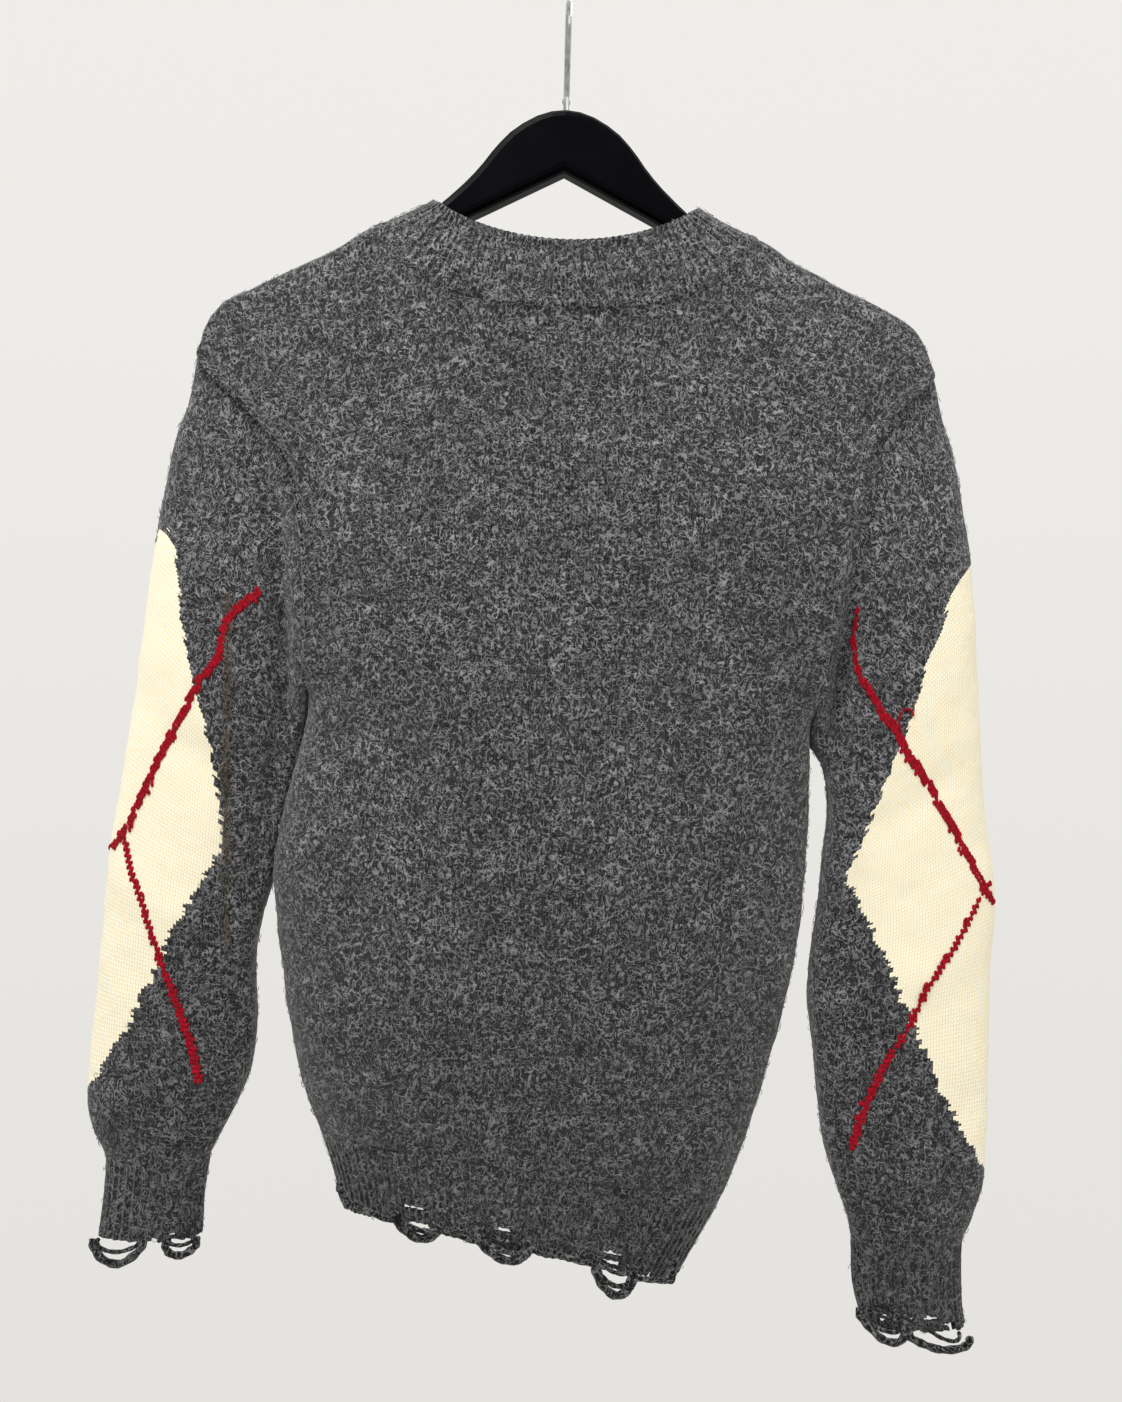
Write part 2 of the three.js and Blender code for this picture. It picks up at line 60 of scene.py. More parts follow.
# ------------------------------------------------------------------ camera
# A level camera stands on the garment's back side, a little closer than an arm
# and a half, so the hanger shows its underside.
CAMERA_AWAY = 0.8
CAMERA_X = -0.0048
CAMERA_Z = -0.415
VIEW_HEIGHT = 0.841
camera_data = bpy.data.cameras.new("camera")
camera_data.lens = 36 * CAMERA_AWAY / VIEW_HEIGHT
camera_data.clip_start = 0.02
camera = bpy.data.objects.new("camera", camera_data)
camera.location = (CAMERA_X, -CAMERA_AWAY, CAMERA_Z)
camera.rotation_euler = (math.pi / 2, 0, 0)
scene.collection.objects.link(camera)
scene.camera = camera
scene.view_settings.view_transform = "Standard"

# ------------------------------------------------------------------ studio
# A pale round floor lies where a clothes rail's floor is. Pale walls all round
# are the world, and three soft boxes light the garment.
FLOOR_Z = -1.6
FLOOR_RADIUS = 0.9


def dye(red, green, blue):
    """A colour given the way a dyer's card gives it, 0 to 255, as the shaders take it."""
    steps = [value / 255 for value in (red, green, blue)]
    return (*[((s + 0.055) / 1.055) ** 2.4 if s > 0.04 else s / 12.92 for s in steps], 1)


def add(tree, kind, inputs=None, **settings):
    """One node, with its settings, and its inputs joined to sockets or set to values."""
    node = tree.nodes.new(kind)
    for key, value in settings.items():
        setattr(node, key, value)
    for key, value in (inputs or {}).items():
        if isinstance(value, bpy.types.NodeSocket):
            tree.links.new(value, node.inputs[key])
        else:
            node.inputs[key].default_value = value
    return node


def sums(tree, operation, first, second=0.0, third=0.0):
    """One step of arithmetic between sockets or numbers."""
    inputs = {0: first, 1: second, 2: third}
    return add(tree, "ShaderNodeMath", inputs, operation=operation).outputs[0]


def parts(tree, place):
    """A place's three coordinates, each as a socket."""
    return add(tree, "ShaderNodeSeparateXYZ", {0: place}).outputs


def ramp(tree, value, low, high, bottom=0.0, top=1.0):
    """Eases from bottom to top while the value goes from low to high."""
    inputs = {"Value": value, "From Min": low, "From Max": high, "To Min": bottom, "To Max": top}
    return add(tree, "ShaderNodeMapRange", inputs, interpolation_type="SMOOTHSTEP").outputs[0]


def blend(tree, share, first, second, way="MIX"):
    """Mixes two colours by a share."""
    node = add(tree, "ShaderNodeMix", data_type="RGBA", blend_type=way)
    for key, value in ((0, share), (6, first), (7, second)):
        if isinstance(value, bpy.types.NodeSocket):
            tree.links.new(value, node.inputs[key])
        else:
            node.inputs[key].default_value = value
    return node.outputs[2]


def specks(tree, place, size, stretch=(1, 1, 1), detail=2.0, roughness=0.5, distortion=0.0):
    """Noise whose specks are about so many metres across."""
    turned = add(tree, "ShaderNodeMapping", {"Vector": place, "Scale": stretch}).outputs[0]
    inputs = {"Vector": turned, "Scale": 1 / size, "Detail": detail}
    inputs |= {"Roughness": roughness, "Distortion": distortion}
    return add(tree, "ShaderNodeTexNoise", inputs).outputs[0]


def new_material(name):
    """An empty material: its tree, its shader and its Object coordinates."""
    material = bpy.data.materials.new(name)
    material.use_nodes = True
    tree = material.node_tree
    shader = tree.nodes["Principled BSDF"]
    place = add(tree, "ShaderNodeTexCoord").outputs["Object"]
    return material, tree, shader, place


def paint(tree, shader, colour):
    """Joins a colour to the shader."""
    tree.links.new(colour, shader.inputs["Base Color"])


def settle(shader, values):
    """Sets the shader's own sockets, which are the same all over the surface."""
    for key, value in values.items():
        shader.inputs[key].default_value = value


def bump(tree, shader, height, depth, strength=1.0):
    """Relief of so many metres on the shader's normal."""
    inputs = {"Height": height, "Distance": depth, "Strength": strength}
    tree.links.new(add(tree, "ShaderNodeBump", inputs).outputs[0], shader.inputs["Normal"])


def set_down(name, mesh, material):
    """The mesh becomes an object that stands at the origin."""
    mesh.materials.append(material)
    mesh.shade_smooth()
    piece = bpy.data.objects.new(name, mesh)
    scene.collection.objects.link(piece)
    return piece


def finished(name, made, material):
    """The bmesh becomes an object, and is freed."""
    mesh = bpy.data.meshes.new(name)
    made.to_mesh(mesh)
    made.free()
    return set_down(name, mesh, material)


floor_paint, tree, shader, place = new_material("floor_paint")
dust = specks(tree, place, 0.05, detail=4)
paint(tree, shader, blend(tree, dust, dye(226, 224, 219), dye(234, 232, 228)))
settle(shader, {"Roughness": 0.8})
made = bmesh.new()
bmesh.ops.create_circle(made, cap_ends=True, segments=96, radius=FLOOR_RADIUS)
bmesh.ops.translate(made, verts=made.verts, vec=(0, 0, FLOOR_Z))
finished("floor", made, floor_paint)

world = bpy.data.worlds.new("pale_room")
scene.world = world
world.use_nodes = True
tree = world.node_tree
room = tree.nodes["Background"]
way_up = add(tree, "ShaderNodeTexCoord").outputs["Generated"]
rise = parts(tree, way_up)[2]
wall = blend(tree, ramp(tree, rise, -0.5, 0.5), dye(229, 227, 223), dye(239, 237, 233))
low = ramp(tree, rise, -0.95, -0.5)
tree.links.new(blend(tree, low, dye(70, 69, 67), wall), room.inputs["Color"])


def soft_box(name, place, target, size, power):
    """A square soft light that faces the target."""
    data = bpy.data.lights.new(name, "AREA")
    data.shape = "SQUARE"
    data.size = size
    data.energy = power
    lamp = bpy.data.objects.new(name, data)
    lamp.location = place
    lamp.rotation_euler = (Vector(target) - Vector(place)).to_track_quat("-Z", "Y").to_euler()
    scene.collection.objects.link(lamp)


soft_box("key_light", (-0.5, -0.9, 1.1), (0, 0, -0.15), 0.7, 24)
soft_box("side_light", (1.3, -0.7, 0.3), (0, 0, -0.3), 0.9, 4)
soft_box("back_light", (0.5, 1.3, 0.8), (0, 0, -0.3), 1.0, 10)

# ------------------------------------------------------------------ hanger
# A flat shaped hanger of beech, sprayed satin black, with a chromed wire hook
# screwed into its top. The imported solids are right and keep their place.
lacquer, tree, shader, place = new_material("black_lacquer")
haze = specks(tree, place, 0.03, detail=5, roughness=0.6)
orange_peel = specks(tree, place, 0.0016, detail=1)
scratches = specks(tree, place, 0.004, stretch=(0.2, 1, 2.2), detail=6, roughness=0.7)
worn = ramp(tree, scratches, 0.62, 0.72)
black = blend(tree, haze, dye(1, 1, 4), dye(3, 3, 7))
paint(tree, shader, blend(tree, worn, black, dye(9, 9, 12)))
tree.links.new(ramp(tree, haze, 0.3, 0.7, 0.3, 0.42), shader.inputs["Roughness"])
settle(shader, {"Specular IOR Level": 0.04})
bump(tree, shader, orange_peel, 0.00006, 0.5)

chrome, tree, shader, place = new_material("chrome_wire")
rub_and_reflection_bands = specks(tree, place, 0.002, stretch=(1, 1, 0.2), detail=4)
# The hook's colour runs from dark to bright grey in long streaks: painted reflection of the surroundings.
# The same noise also varies its roughness and bump.
paint(tree, shader, blend(tree, rub_and_reflection_bands, dye(96, 98, 102), dye(206, 208, 211)))
tree.links.new(ramp(tree, rub_and_reflection_bands, 0.3, 0.7, 0.07, 0.16), shader.inputs["Roughness"])
settle(shader, {"Metallic": 1.0})
bump(tree, shader, rub_and_reflection_bands, 0.00002, 0.4)

for node, finish in (("hanger_body", lacquer), ("hanger_hook", chrome)):
    frame["nodes"][node].material_slots[0].material = finish

# ------------------------------------------------------------------ wool
# Dark grey marled lambswool, brushed so that pale hairs curl over the stitches.
# The sleeves' diamonds are smooth cream wool, knitted in stitch by stitch.
WALE = 0.0018
COURSE = 0.0016


def stitches(tree, chart):
    """Height of plain knitting: columns of small V shapes, on the chart in metres."""
    split = parts(tree, chart)
    column = sums(tree, "DIVIDE", split[0], WALE)
    leg = sums(tree, "ABSOLUTE", sums(tree, "SUBTRACT", sums(tree, "FRACT", column), 0.5))
    row = sums(tree, "MULTIPLY_ADD", leg, 1.6, sums(tree, "DIVIDE", split[1], COURSE))
    loop = sums(tree, "ABSOLUTE", sums(tree, "SUBTRACT", sums(tree, "FRACT", row), 0.5))
    round_loop = ramp(tree, loop, 0.1, 0.5, 1.0, 0.2)
    return sums(tree, "MULTIPLY", round_loop, ramp(tree, leg, 0.3, 0.5, 1.0, 0.1))


def hairs(tree, place):
    """A web of thin curling lines, as brushed hairs lie over the stitches."""
    web = 0.0
    for size, stretch, bends in (
            (0.0054, (1, 1, 0.75), 4.4), (0.0040, (1.1, 1, 0.9), 3.4), (0.0064, (1, 1, 1), 5.2)):
        curl = specks(tree, place, size, stretch, detail=1.2, roughness=0.4, distortion=0.5)
        turn = sums(tree, "FRACT", sums(tree, "MULTIPLY", curl, bends))
        off = sums(tree, "ABSOLUTE", sums(tree, "SUBTRACT", turn, 0.5))
        line = ramp(tree, off, 0.0, 0.17, 1.0, 0.0)
        broken = ramp(tree, specks(tree, place, size * 0.55, detail=1), 0.38, 0.56)
        web = sums(tree, "MAXIMUM", web, sums(tree, "MULTIPLY", line, broken))
    return web


def grey_yarn(tree, place, chart):
    """Colour and height of the marled grey wool; the colour holds painted shade in the gaps between
    stitches and towards the hem.
    """
    web = hairs(tree, place)
    knit = stitches(tree, chart)
    grain = specks(tree, place, 0.0021, (1, 1, 0.8), detail=1.5, distortion=0.5)
    patch = specks(tree, place, 0.012, (0.7, 1, 1.1), detail=4, roughness=0.65)
    streak = specks(tree, place, 0.0026, (0.16, 1, 1), detail=3)
    wear = specks(tree, place, 0.09, detail=3)
    depth = sums(tree, "MULTIPLY_ADD", knit, 0.42, sums(tree, "MULTIPLY", grain, 0.9))
    # The ground goes nearly black in the gaps between stitches: painted shade in the knit's hollows,
    # mixed with the yarn's own marl.
    ground = blend(tree, ramp(tree, depth, 0.45, 1.0), dye(3, 4, 7), dye(86, 86, 89))
    lit = sums(tree, "MULTIPLY", web, ramp(tree, patch, 0.25, 0.72, 0.45, 1.0))
    colour = blend(tree, lit, ground, dye(186, 187, 191))
    tone = sums(tree, "MULTIPLY_ADD", ramp(tree, streak, 0.3, 0.7), 0.26, 0.49)
    tone = sums(tree, "MULTIPLY", tone, ramp(tree, wear, 0.3, 0.7, 0.92, 1.08))
    # Darker towards the hem and the cuffs: partly handling dirt, partly painted shade of the lower
    # garment.
    up = parts(tree, place)[2]
    tone = sums(tree, "MULTIPLY", tone, ramp(tree, up, -0.78, -0.42, 0.60, 1.0))
    tint = add(tree, "ShaderNodeCombineColor", {0: tone, 1: tone, 2: tone}).outputs[0]
    colour = blend(tree, 1.0, colour, tint, "MULTIPLY")
    height = sums(tree, "MULTIPLY_ADD", web, 0.6, depth)
    return colour, height


grey_wool, tree, shader, place = new_material("grey_wool")
chart = add(tree, "ShaderNodeUVMap", uv_map="chart").outputs[0]
colour, height = grey_yarn(tree, place, chart)
paint(tree, shader, colour)
settle(shader, {"Roughness": 0.95, "Specular IOR Level": 0.15})
settle(shader, {"Sheen Weight": 0.25, "Sheen Roughness": 0.5})
bump(tree, shader, height, 0.0006, 0.8)

# ------------------------------------------------------------------ back panel
# The back of the body, knitted in one width from the hem's rib to the shoulder
# seams, 43 by 58 cm. It hangs from the hanger's arms and falls a little askew.
MM = 0.001
WALL = 0.0023
LEAN = 0.032
SWAY = -1.8
SIDE_Y = 3
NECK_HALF = 112.5
SHOULDER_HALF = 217
SHOULDER_TIP = 219
RIDGE_RADIUS = 14
RIDGE_SEAM = math.radians(40)
HEM_EDGE = (-718, -762)
UNDERARM = (-404, -420)
HEM_ARCH = 4
ARMHOLE_ROWS = 8
YOKE_SHARE = 0.44


def lerp(first, second, share):
    return first + (second - first) * share


def through(pairs):
    """A smooth line through sorted pairs of place and value, level past its ends."""
    last = len(pairs) - 1
    slopes = []
    for i in range(last + 1):
        before, after = pairs[max(i - 1, 0)], pairs[min(i + 1, last)]
        slopes.append((after[1] - before[1]) / (after[0] - before[0]))

    def value(place):
        if place <= pairs[0][0]:
            return pairs[0][1]
        if place >= pairs[last][0]:
            return pairs[last][1]
        i = 0
        while pairs[i + 1][0] < place:
            i += 1
        span = pairs[i + 1][0] - pairs[i][0]
        share = (place - pairs[i][0]) / span
        rise = pairs[i + 1][1] - pairs[i][1]
        bend = share * (1 - share)
        pull = (1 - share) * (slopes[i] * span - rise) - share * (slopes[i + 1] * span - rise)
        return lerp(pairs[i][1], pairs[i + 1][1], share) + bend * pull

    return value


def rising(pairs):
    return through(sorted(pairs))


def pinned(x, y, z):
    """A place on the garment in millimetres, as the finished mesh holds it."""
    return Vector(((x + SWAY) * MM, y * MM, z * MM))


ridge = through([
    (0, -132), (112.5, -135), (135, -148), (168, -164.5), (189, -175), (204, -183),
    (211, -191.5), (214.5, -199), (217, -208),
])
side_seam = (
    rising([(-718, -134), (-685, -143), (-644, -158), (-598, -167), (-546, -173), (-511, -175),
            (-475, -168), (-440, -158), (-411, -153), (-404, -158)]),
    rising([(-762, 65), (-724, 87), (-688, 104), (-631, 122), (-580, 135), (-535, 142),
            (-484, 145), (-428, 146), (-420, 150)]),
)
fall = {
    "back": rising([(-762, -18), (-690, -24), (-600, -31), (-500, -35), (-400, -34),
                    (-300, -30), (-230, -26), (-186, -24)]),
    "front": rising([(-762, 22), (-690, 30), (-600, 38), (-500, 42), (-400, 40),
                     (-300, 36), (-226, 30)]),
}
neckline = {
    "back": (
        through([(0, -186), (30, -185), (60, -180), (85, -169), (102, -155), (112.5, -140)]),
        through([(0, -24), (60, -22.5), (85, -20), (102, -15.5), (112.5, -10.7)]),
    ),
    "front": (
        through([(0, -226), (30, -222), (60, -208), (85, -186), (102, -163), (112.5, -140)]),
        through([(0, 30), (60, 26), (85, 21), (102, 16), (112.5, 10.7)]),
    ),
}
# The armholes go from the underarm up to the shoulder seam, row by row: x, depth, z.
armhole_places = (
    [(-158, 3, -404), (-155, 19, -397), (-150, 28, -366), (-151, 31, -325), (-157, 30, -285),
     (-170, 27, -257), (-190, 22, -235), (-207, 16, -218), (-217, 10.7, -206)],
    [(150, 3, -420), (151, 19, -412), (153, 28, -378), (160, 31, -333), (168, 30, -290),
     (176, 27, -260), (191, 22, -242), (207, 16, -229), (217, 10.7, -220)],
)
armhole_tips = ((-SHOULDER_TIP, 0, -201), (SHOULDER_TIP, 0, -215))
faces_away = {"back": -1, "front": 1}
armhole_lines = {}
for side in (0, 1):
    for face, way in faces_away.items():
        # The underarm's own depth is the same on both faces.
        rows = [(x, y * (way if i else 1), z) for i, (x, y, z) in enumerate(armhole_places[side])]
        rows.append(armhole_tips[side])
        armhole_lines[side, face] = [
            through([(i, row[k]) for i, row in enumerate(rows)]) for k in range(3)
        ]


def armhole(side, face, row):
    return [line(row) for line in armhole_lines[side, face]]


neck_turn = math.asin(NECK_HALF / SHOULDER_TIP) / (math.pi / 2)


def across(column):
    return (1 + math.sin(column * math.pi / 2)) / 2


def crown(column, power=0.8):
    return max(math.cos(column * math.pi / 2), 0) ** power


def torso(face, column, height):
    """The body below the underarm, from the hem's edge, 0, to the underarm, 1."""
    ends = [lerp(HEM_EDGE[side], UNDERARM[side], height) for side in (0, 1)]
    share = across(column)
    x = lerp(side_seam[0](ends[0]), side_seam[1](ends[1]), share)
    z = lerp(ends[0], ends[1], share) + HEM_ARCH * (1 - height) ** 2 * crown(column)
    y = lerp(SIDE_Y, fall[face](z), crown(column, lerp(0.8, 0.35, height ** 4)))
    return x, y, z


def top_edge(face, column):
    """The shoulder seams and the neckline."""
    x = lerp(-SHOULDER_HALF, SHOULDER_HALF, across(column))
    reach = min(abs(x), SHOULDER_TIP)
    if abs(column) < neck_turn - 1e-6:
        return x, neckline[face][1](reach), neckline[face][0](reach) - LEAN * x
    drop = RIDGE_RADIUS * (1 - math.sin(RIDGE_SEAM))
    y = faces_away[face] * RIDGE_RADIUS * math.cos(RIDGE_SEAM)
    return x, y, ridge(reach) - drop - LEAN * x


def yoke(face, column, row):
    """The body between underarm and shoulder, row 0 to 8."""
    left = armhole(0, face, row)
    right = armhole(1, face, row)
    share = across(column)
    x, y, z = (lerp(a, b, share) for a, b in zip(left, right))
    rise = row / ARMHOLE_ROWS
    top = top_edge(face, column)
    chord = lerp(armhole(0, face, ARMHOLE_ROWS)[2], armhole(1, face, ARMHOLE_ROWS)[2], share)
    edge_ease = min((1 - abs(column)) / 0.02, 1)
    z += edge_ease * (top[2] - chord) * rise ** 1.2
    full = lerp(y, fall[face](z), crown(column, lerp(0.35, 0.8, min(row, 1))))
    # The panel's edge stands a little proud of the sleeve that is sewn behind it.
    full += faces_away[face] * 2.6 * math.exp(-(((1 - abs(column)) / 0.07) ** 2)) * min(row / 2, 1)
    return lerp(x, top[0], rise ** 6), lerp(full, top[1], rise ** 3 * edge_ease), z


def crease(x, z, start, end, width, depth):
    """A soft trough between two places. A negative depth is a ridge."""
    run = (end[0] - start[0], end[1] - start[1])
    share = ((x - start[0]) * run[0] + (z - start[1]) * run[1]) / (run[0] ** 2 + run[1] ** 2)
    inside = min(max(share, 0), 1)
    away = math.hypot(x - start[0] - run[0] * inside, z - start[1] - run[1] * inside)
    return depth * math.exp(-((away / width) ** 2)) * (1 - 0.6 * abs(2 * inside - 1))


# Where the cloth drags from the arms and hangs in soft folds: start, end, width, depth.
back_creases = [
    ((-150, -415), (-70, -520), 16, 3.0), ((-158, -450), (-110, -560), 13, 2.4),
    ((-150, -380), (-60, -420), 14, -2.0), ((148, -430), (80, -520), 16, 3.0),
    ((150, -400), (60, -430), 14, -1.8), ((132, -480), (105, -600), 13, 2.2),
    ((-95, -200), (-150, -300), 15, 2.0), ((95, -205), (152, -305), 15, 2.2),
    ((-40, -560), (-60, -700), 15, 1.8), ((20, -540), (25, -700), 18, -1.8),
    ((-100, -600), (-110, -700), 12, -2.0), ((70, -600), (60, -730), 13, 1.8),
    ((-60, -196), (60, -198), 9, 1.6), ((-30, -260), (20, -420), 26, 1.4),
]
front_creases = [
    ((-140, -420), (-50, -540), 17, 3.2), ((145, -430), (60, -540), 17, 3.2),
    ((-150, -470), (-100, -600), 13, 2.5), ((135, -480), (95, -610), 13, 2.5),
    ((-70, -560), (-80, -700), 16, 2.4), ((-10, -560), (-20, -710), 16, -2.4),
    ((50, -560), (45, -720), 15, 2.2), ((-70, -236), (70, -240), 12, 2.0),
    ((-90, -225), (-140, -320), 15, 2.2), ((90, -225), (142, -320), 15, 2.2),
]


def pushed(point, face, creases):
    """The place after the creases, in millimetres, have moved it towards the body or away."""
    x, y, z = point
    depth = sum(crease(x, z, *each) for each in creases)
    near = max(1 - abs(y - SIDE_Y) / 18, 0)
    return x, y - faces_away[face] * depth * (1 - near), z


def lumps(point, size, depth):
    """Small unevenness of knitting, in metres."""
    return depth * noise.noise(point / size)


def sheet(columns, rows, place, chart_size):
    """A flat grid of knitting, bent to place(across, up) in millimetres."""
    cloth = bmesh.new()
    chart = cloth.loops.layers.uv.new("chart")
    bmesh.ops.create_grid(cloth, x_segments=columns, y_segments=rows, size=0.5, calc_uvs=True)
    for corner in cloth.faces[:]:
        for loop in corner.loops:
            loop[chart].uv = (loop[chart].uv[0] * chart_size[0], loop[chart].uv[1] * chart_size[1])
    for corner in cloth.verts:
        corner.co = pinned(*place(corner.co.x + 0.5, corner.co.y + 0.5))
    return cloth


FELT_LUMP = 0.004


def felted(cloth, depth=0.00035):
    """Raises and sinks the cloth a little everywhere but at its edges."""
    cloth.normal_update()
    moves = []
    for corner in cloth.verts:
        if not corner.is_boundary:
            rise = lumps(corner.co, FELT_LUMP, depth)
            rise += lumps(corner.co, FELT_LUMP * 5, depth * 2.2)
            moves.append((corner, corner.normal * rise))
    for corner, move in moves:
        corner.co += move


def with_wall(piece, wall=WALL):
    """Gives a sheet its thickness, on its hidden side."""
    solidify = piece.modifiers.new("wall", "SOLIDIFY")
    solidify.thickness = wall
    solidify.offset = -1
    return piece


def column_at(share):
    """Columns lie a little closer together towards the side seams."""
    step = 2 * share - 1
    return lerp(step, math.asin(min(max(step, -1), 1)) / (math.pi / 2), 0.6)


HEM_SEAM_SHARE = 46 / 314
PANEL_CHART = (0.40, 0.575)


def panel(face, creases):
    """The whole panel's shape: the way across, then the way up."""
    def place(share, up):
        column = column_at(share if face == "back" else 1 - share)
        if up < 1 - YOKE_SHARE:
            height = lerp(HEM_SEAM_SHARE, 1, up / (1 - YOKE_SHARE))
            return pushed(torso(face, column, height), face, creases)
        row = ARMHOLE_ROWS * (up - 1 + YOKE_SHARE) / YOKE_SHARE
        return pushed(yoke(face, column, row), face, creases)
    return place


made = sheet(156, 210, panel("back", back_creases), PANEL_CHART)
felted(made)
back = with_wall(finished("back_knit", made, grey_wool))
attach(back, "root")
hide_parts("back_panel")

# ------------------------------------------------------------------ front panel
# The front of the body goes on over the hanger's arms to the shoulder seams,
# which lie a little to the back, and is cut lower at the neck.
made = sheet(112, 150, panel("front", front_creases), PANEL_CHART)
SHOULDER_STEPS = 8
for start, end in ((-1, -neck_turn), (neck_turn, 1)):
    def over_shoulder(share, up):
        column = lerp(end, start, share)
        x = lerp(-SHOULDER_HALF, SHOULDER_HALF, across(column))
        turn = lerp(RIDGE_SEAM, math.pi - RIDGE_SEAM, up)
        z = ridge(min(abs(x), SHOULDER_TIP)) - RIDGE_RADIUS * (1 - math.sin(turn)) - LEAN * x
        return x, RIDGE_RADIUS * math.cos(turn), z
    strip = sheet(36, SHOULDER_STEPS, over_shoulder, (0.1, 0.03))
    mesh = bpy.data.meshes.new("strip")
    strip.to_mesh(mesh)
    strip.free()
    made.from_mesh(mesh)
    bpy.data.meshes.remove(mesh)
felted(made)
front = with_wall(finished("front_knit", made, grey_wool))
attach(front, "root")
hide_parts("front_panel")

# ------------------------------------------------------------------ neck rib
# A band of one-and-one rib, 40 mm high at the back, linked on round the neckline.
# Its upper edge is cast off and rolls a little, and it leans in over the hanger.
COLLAR_HALF = 80
COLLAR_TOP = -117.5
COLLAR_DIP = {"back": 28.5, "front": 62}
COLLAR_SWEEP = {"back": 1.5, "front": 2.2}
COLLAR_DEPTH = {"back": 21, "front": 25}
COLLAR_CORNER = math.radians(20)
COLLAR_RIBS = 112
RIB_WALL = 0.0026
neck_reach = lerp(-SHOULDER_HALF, SHOULDER_HALF, across(neck_turn))


def collar_ring_places():
    """The neckline and the band's upper edge, point by point, once round: the back first."""
    low, high = [], []
    for face, way in faces_away.items():
        for i in range(11):
            column = lerp(neck_turn, -neck_turn, i / 10) * way
            end = math.copysign(neck_reach, column)
            shoulder = (end, way * 10.7, ridge(neck_reach) - 5 - LEAN * end)
            low.append(top_edge(face, column) if 0 < i < 10 else shoulder)
            turn = lerp(math.pi - COLLAR_CORNER, COLLAR_CORNER, i / 10)
            x = -way * COLLAR_HALF * math.cos(turn)
            dip = COLLAR_DIP[face] * math.sin(turn) ** COLLAR_SWEEP[face]
            y = way * COLLAR_DEPTH[face] * math.sin(turn) ** 0.5
            high.append((x, y, COLLAR_TOP - dip - LEAN * x))
        end = -way
        low.append((end * neck_reach, 0, ridge(neck_reach) - LEAN * end * neck_reach))
        high.append((end * COLLAR_HALF, 0, COLLAR_TOP - LEAN * end * COLLAR_HALF))
    return low, high


collar_low, collar_high = collar_ring_places()


def round_the(ring):
    """A smooth closed line through the ring's points, by share."""
    count = len(ring)
    lines = [through([(i, ring[i % count][k]) for i in range(-2, count + 3)]) for k in range(3)]
    return lambda share: [line(share * count) for line in lines]


low_line, high_line = round_the(collar_low), round_the(collar_high)


def ribbed(turns, share, height):
    """Height of a rib across one-and-one ribbing."""
    return height * math.cos(2 * math.pi * turns * share)


COLLAR_TUCKED = 0.12
SEAM_RISE = 2.2


def closed(cloth):
    """Joins a rolled sheet along its seam, and turns its faces outwards."""
    bmesh.ops.remove_doubles(cloth, verts=cloth.verts, dist=0.00002)
    bmesh.ops.recalc_face_normals(cloth, faces=cloth.faces)


def collar(share, up):
    """The band, from its edge tucked under the panels, 0, to its upper edge, 1."""
    low, high = low_line(share), high_line(share)
    up = up * (1 + COLLAR_TUCKED) - COLLAR_TUCKED
    x, y, z = (lerp(a, b, up) for a, b in zip(low, high))
    rise = max(up, 0)
    middle = 1 + 0.06 * math.sin(math.pi * rise) + ribbed(COLLAR_RIBS, share, 0.03) * min(rise * 8, 1)
    tuck = 1 + 1.6 * min(up, 0)
    roll = 0.12 * max(up - 0.86, 0) / 0.14
    step = SEAM_RISE * math.exp(-((up - 0.06) / 0.05) ** 2)
    away = math.hypot(x / 100, y / 20) or 1
    x, y = x * (1 + step / 100 / away), y * (middle + roll) * tuck * (1 + step / 20 / away)
    return x, y, z - 0.6 * math.sin(math.pi * rise)


made = sheet(COLLAR_RIBS * 6, 16, collar, (0.43, 0.04))
closed(made)
felted(made, 0.0002)
neck = with_wall(finished("neck_knit", made, grey_wool), RIB_WALL)
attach(neck, "root")
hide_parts("neck_rib")

# ------------------------------------------------------------------ sleeves
# Each sleeve is one shaped piece, seamed under the arm, with a big cream diamond
# knitted in over its outer fold. Cream stitches step in and out along its edge.
CUFF_SHARE = 0.12
CUFF_SEAM = (-688, -736)
CUFF_EDGE = (-737, -791)
outer_fold = (
    rising([(-201, -219), (-235, -226), (-251, -232), (-295, -242), (-358, -252), (-415, -260),
            (-461, -268), (-503, -275), (-554, -280), (-605, -285), (-651, -289), (-672, -286),
            (-690, -278), (-709, -278.5), (-737, -282)]),
    rising([(-215, 219), (-237, 223), (-268, 232), (-319, 241), (-346, 244), (-415, 248),
            (-484, 253), (-529, 259), (-583, 256), (-641, 255), (-704, 252), (-728, 245),
            (-741, 239), (-779, 239), (-793, 241)]),
)
inner_fold = (
    rising([(-404, -158), (-411, -154), (-440, -156), (-475, -165.5), (-505, -173),
            (-522, -177), (-551, -185), (-575, -188), (-605, -187), (-635, -190), (-651, -196),
            (-673, -207), (-688, -215), (-707, -219), (-737, -221)]),
    rising([(-420, 150), (-430, 145), (-442, 147), (-456, 155), (-482, 158), (-505, 156),
            (-547, 151), (-592, 146), (-621, 149), (-682, 156), (-708, 164), (-736, 172),
            (-767, 174), (-791, 180)]),
)
sleeve_depth = through([
    (0, 30), (0.2, 31), (0.45, 28), (0.7, 24), (0.9, 19), (1, 15), (1.12, 14),
])
sleeve_middle = through([(0, 2), (0.3, 5), (0.6, 8), (1.12, 8)])
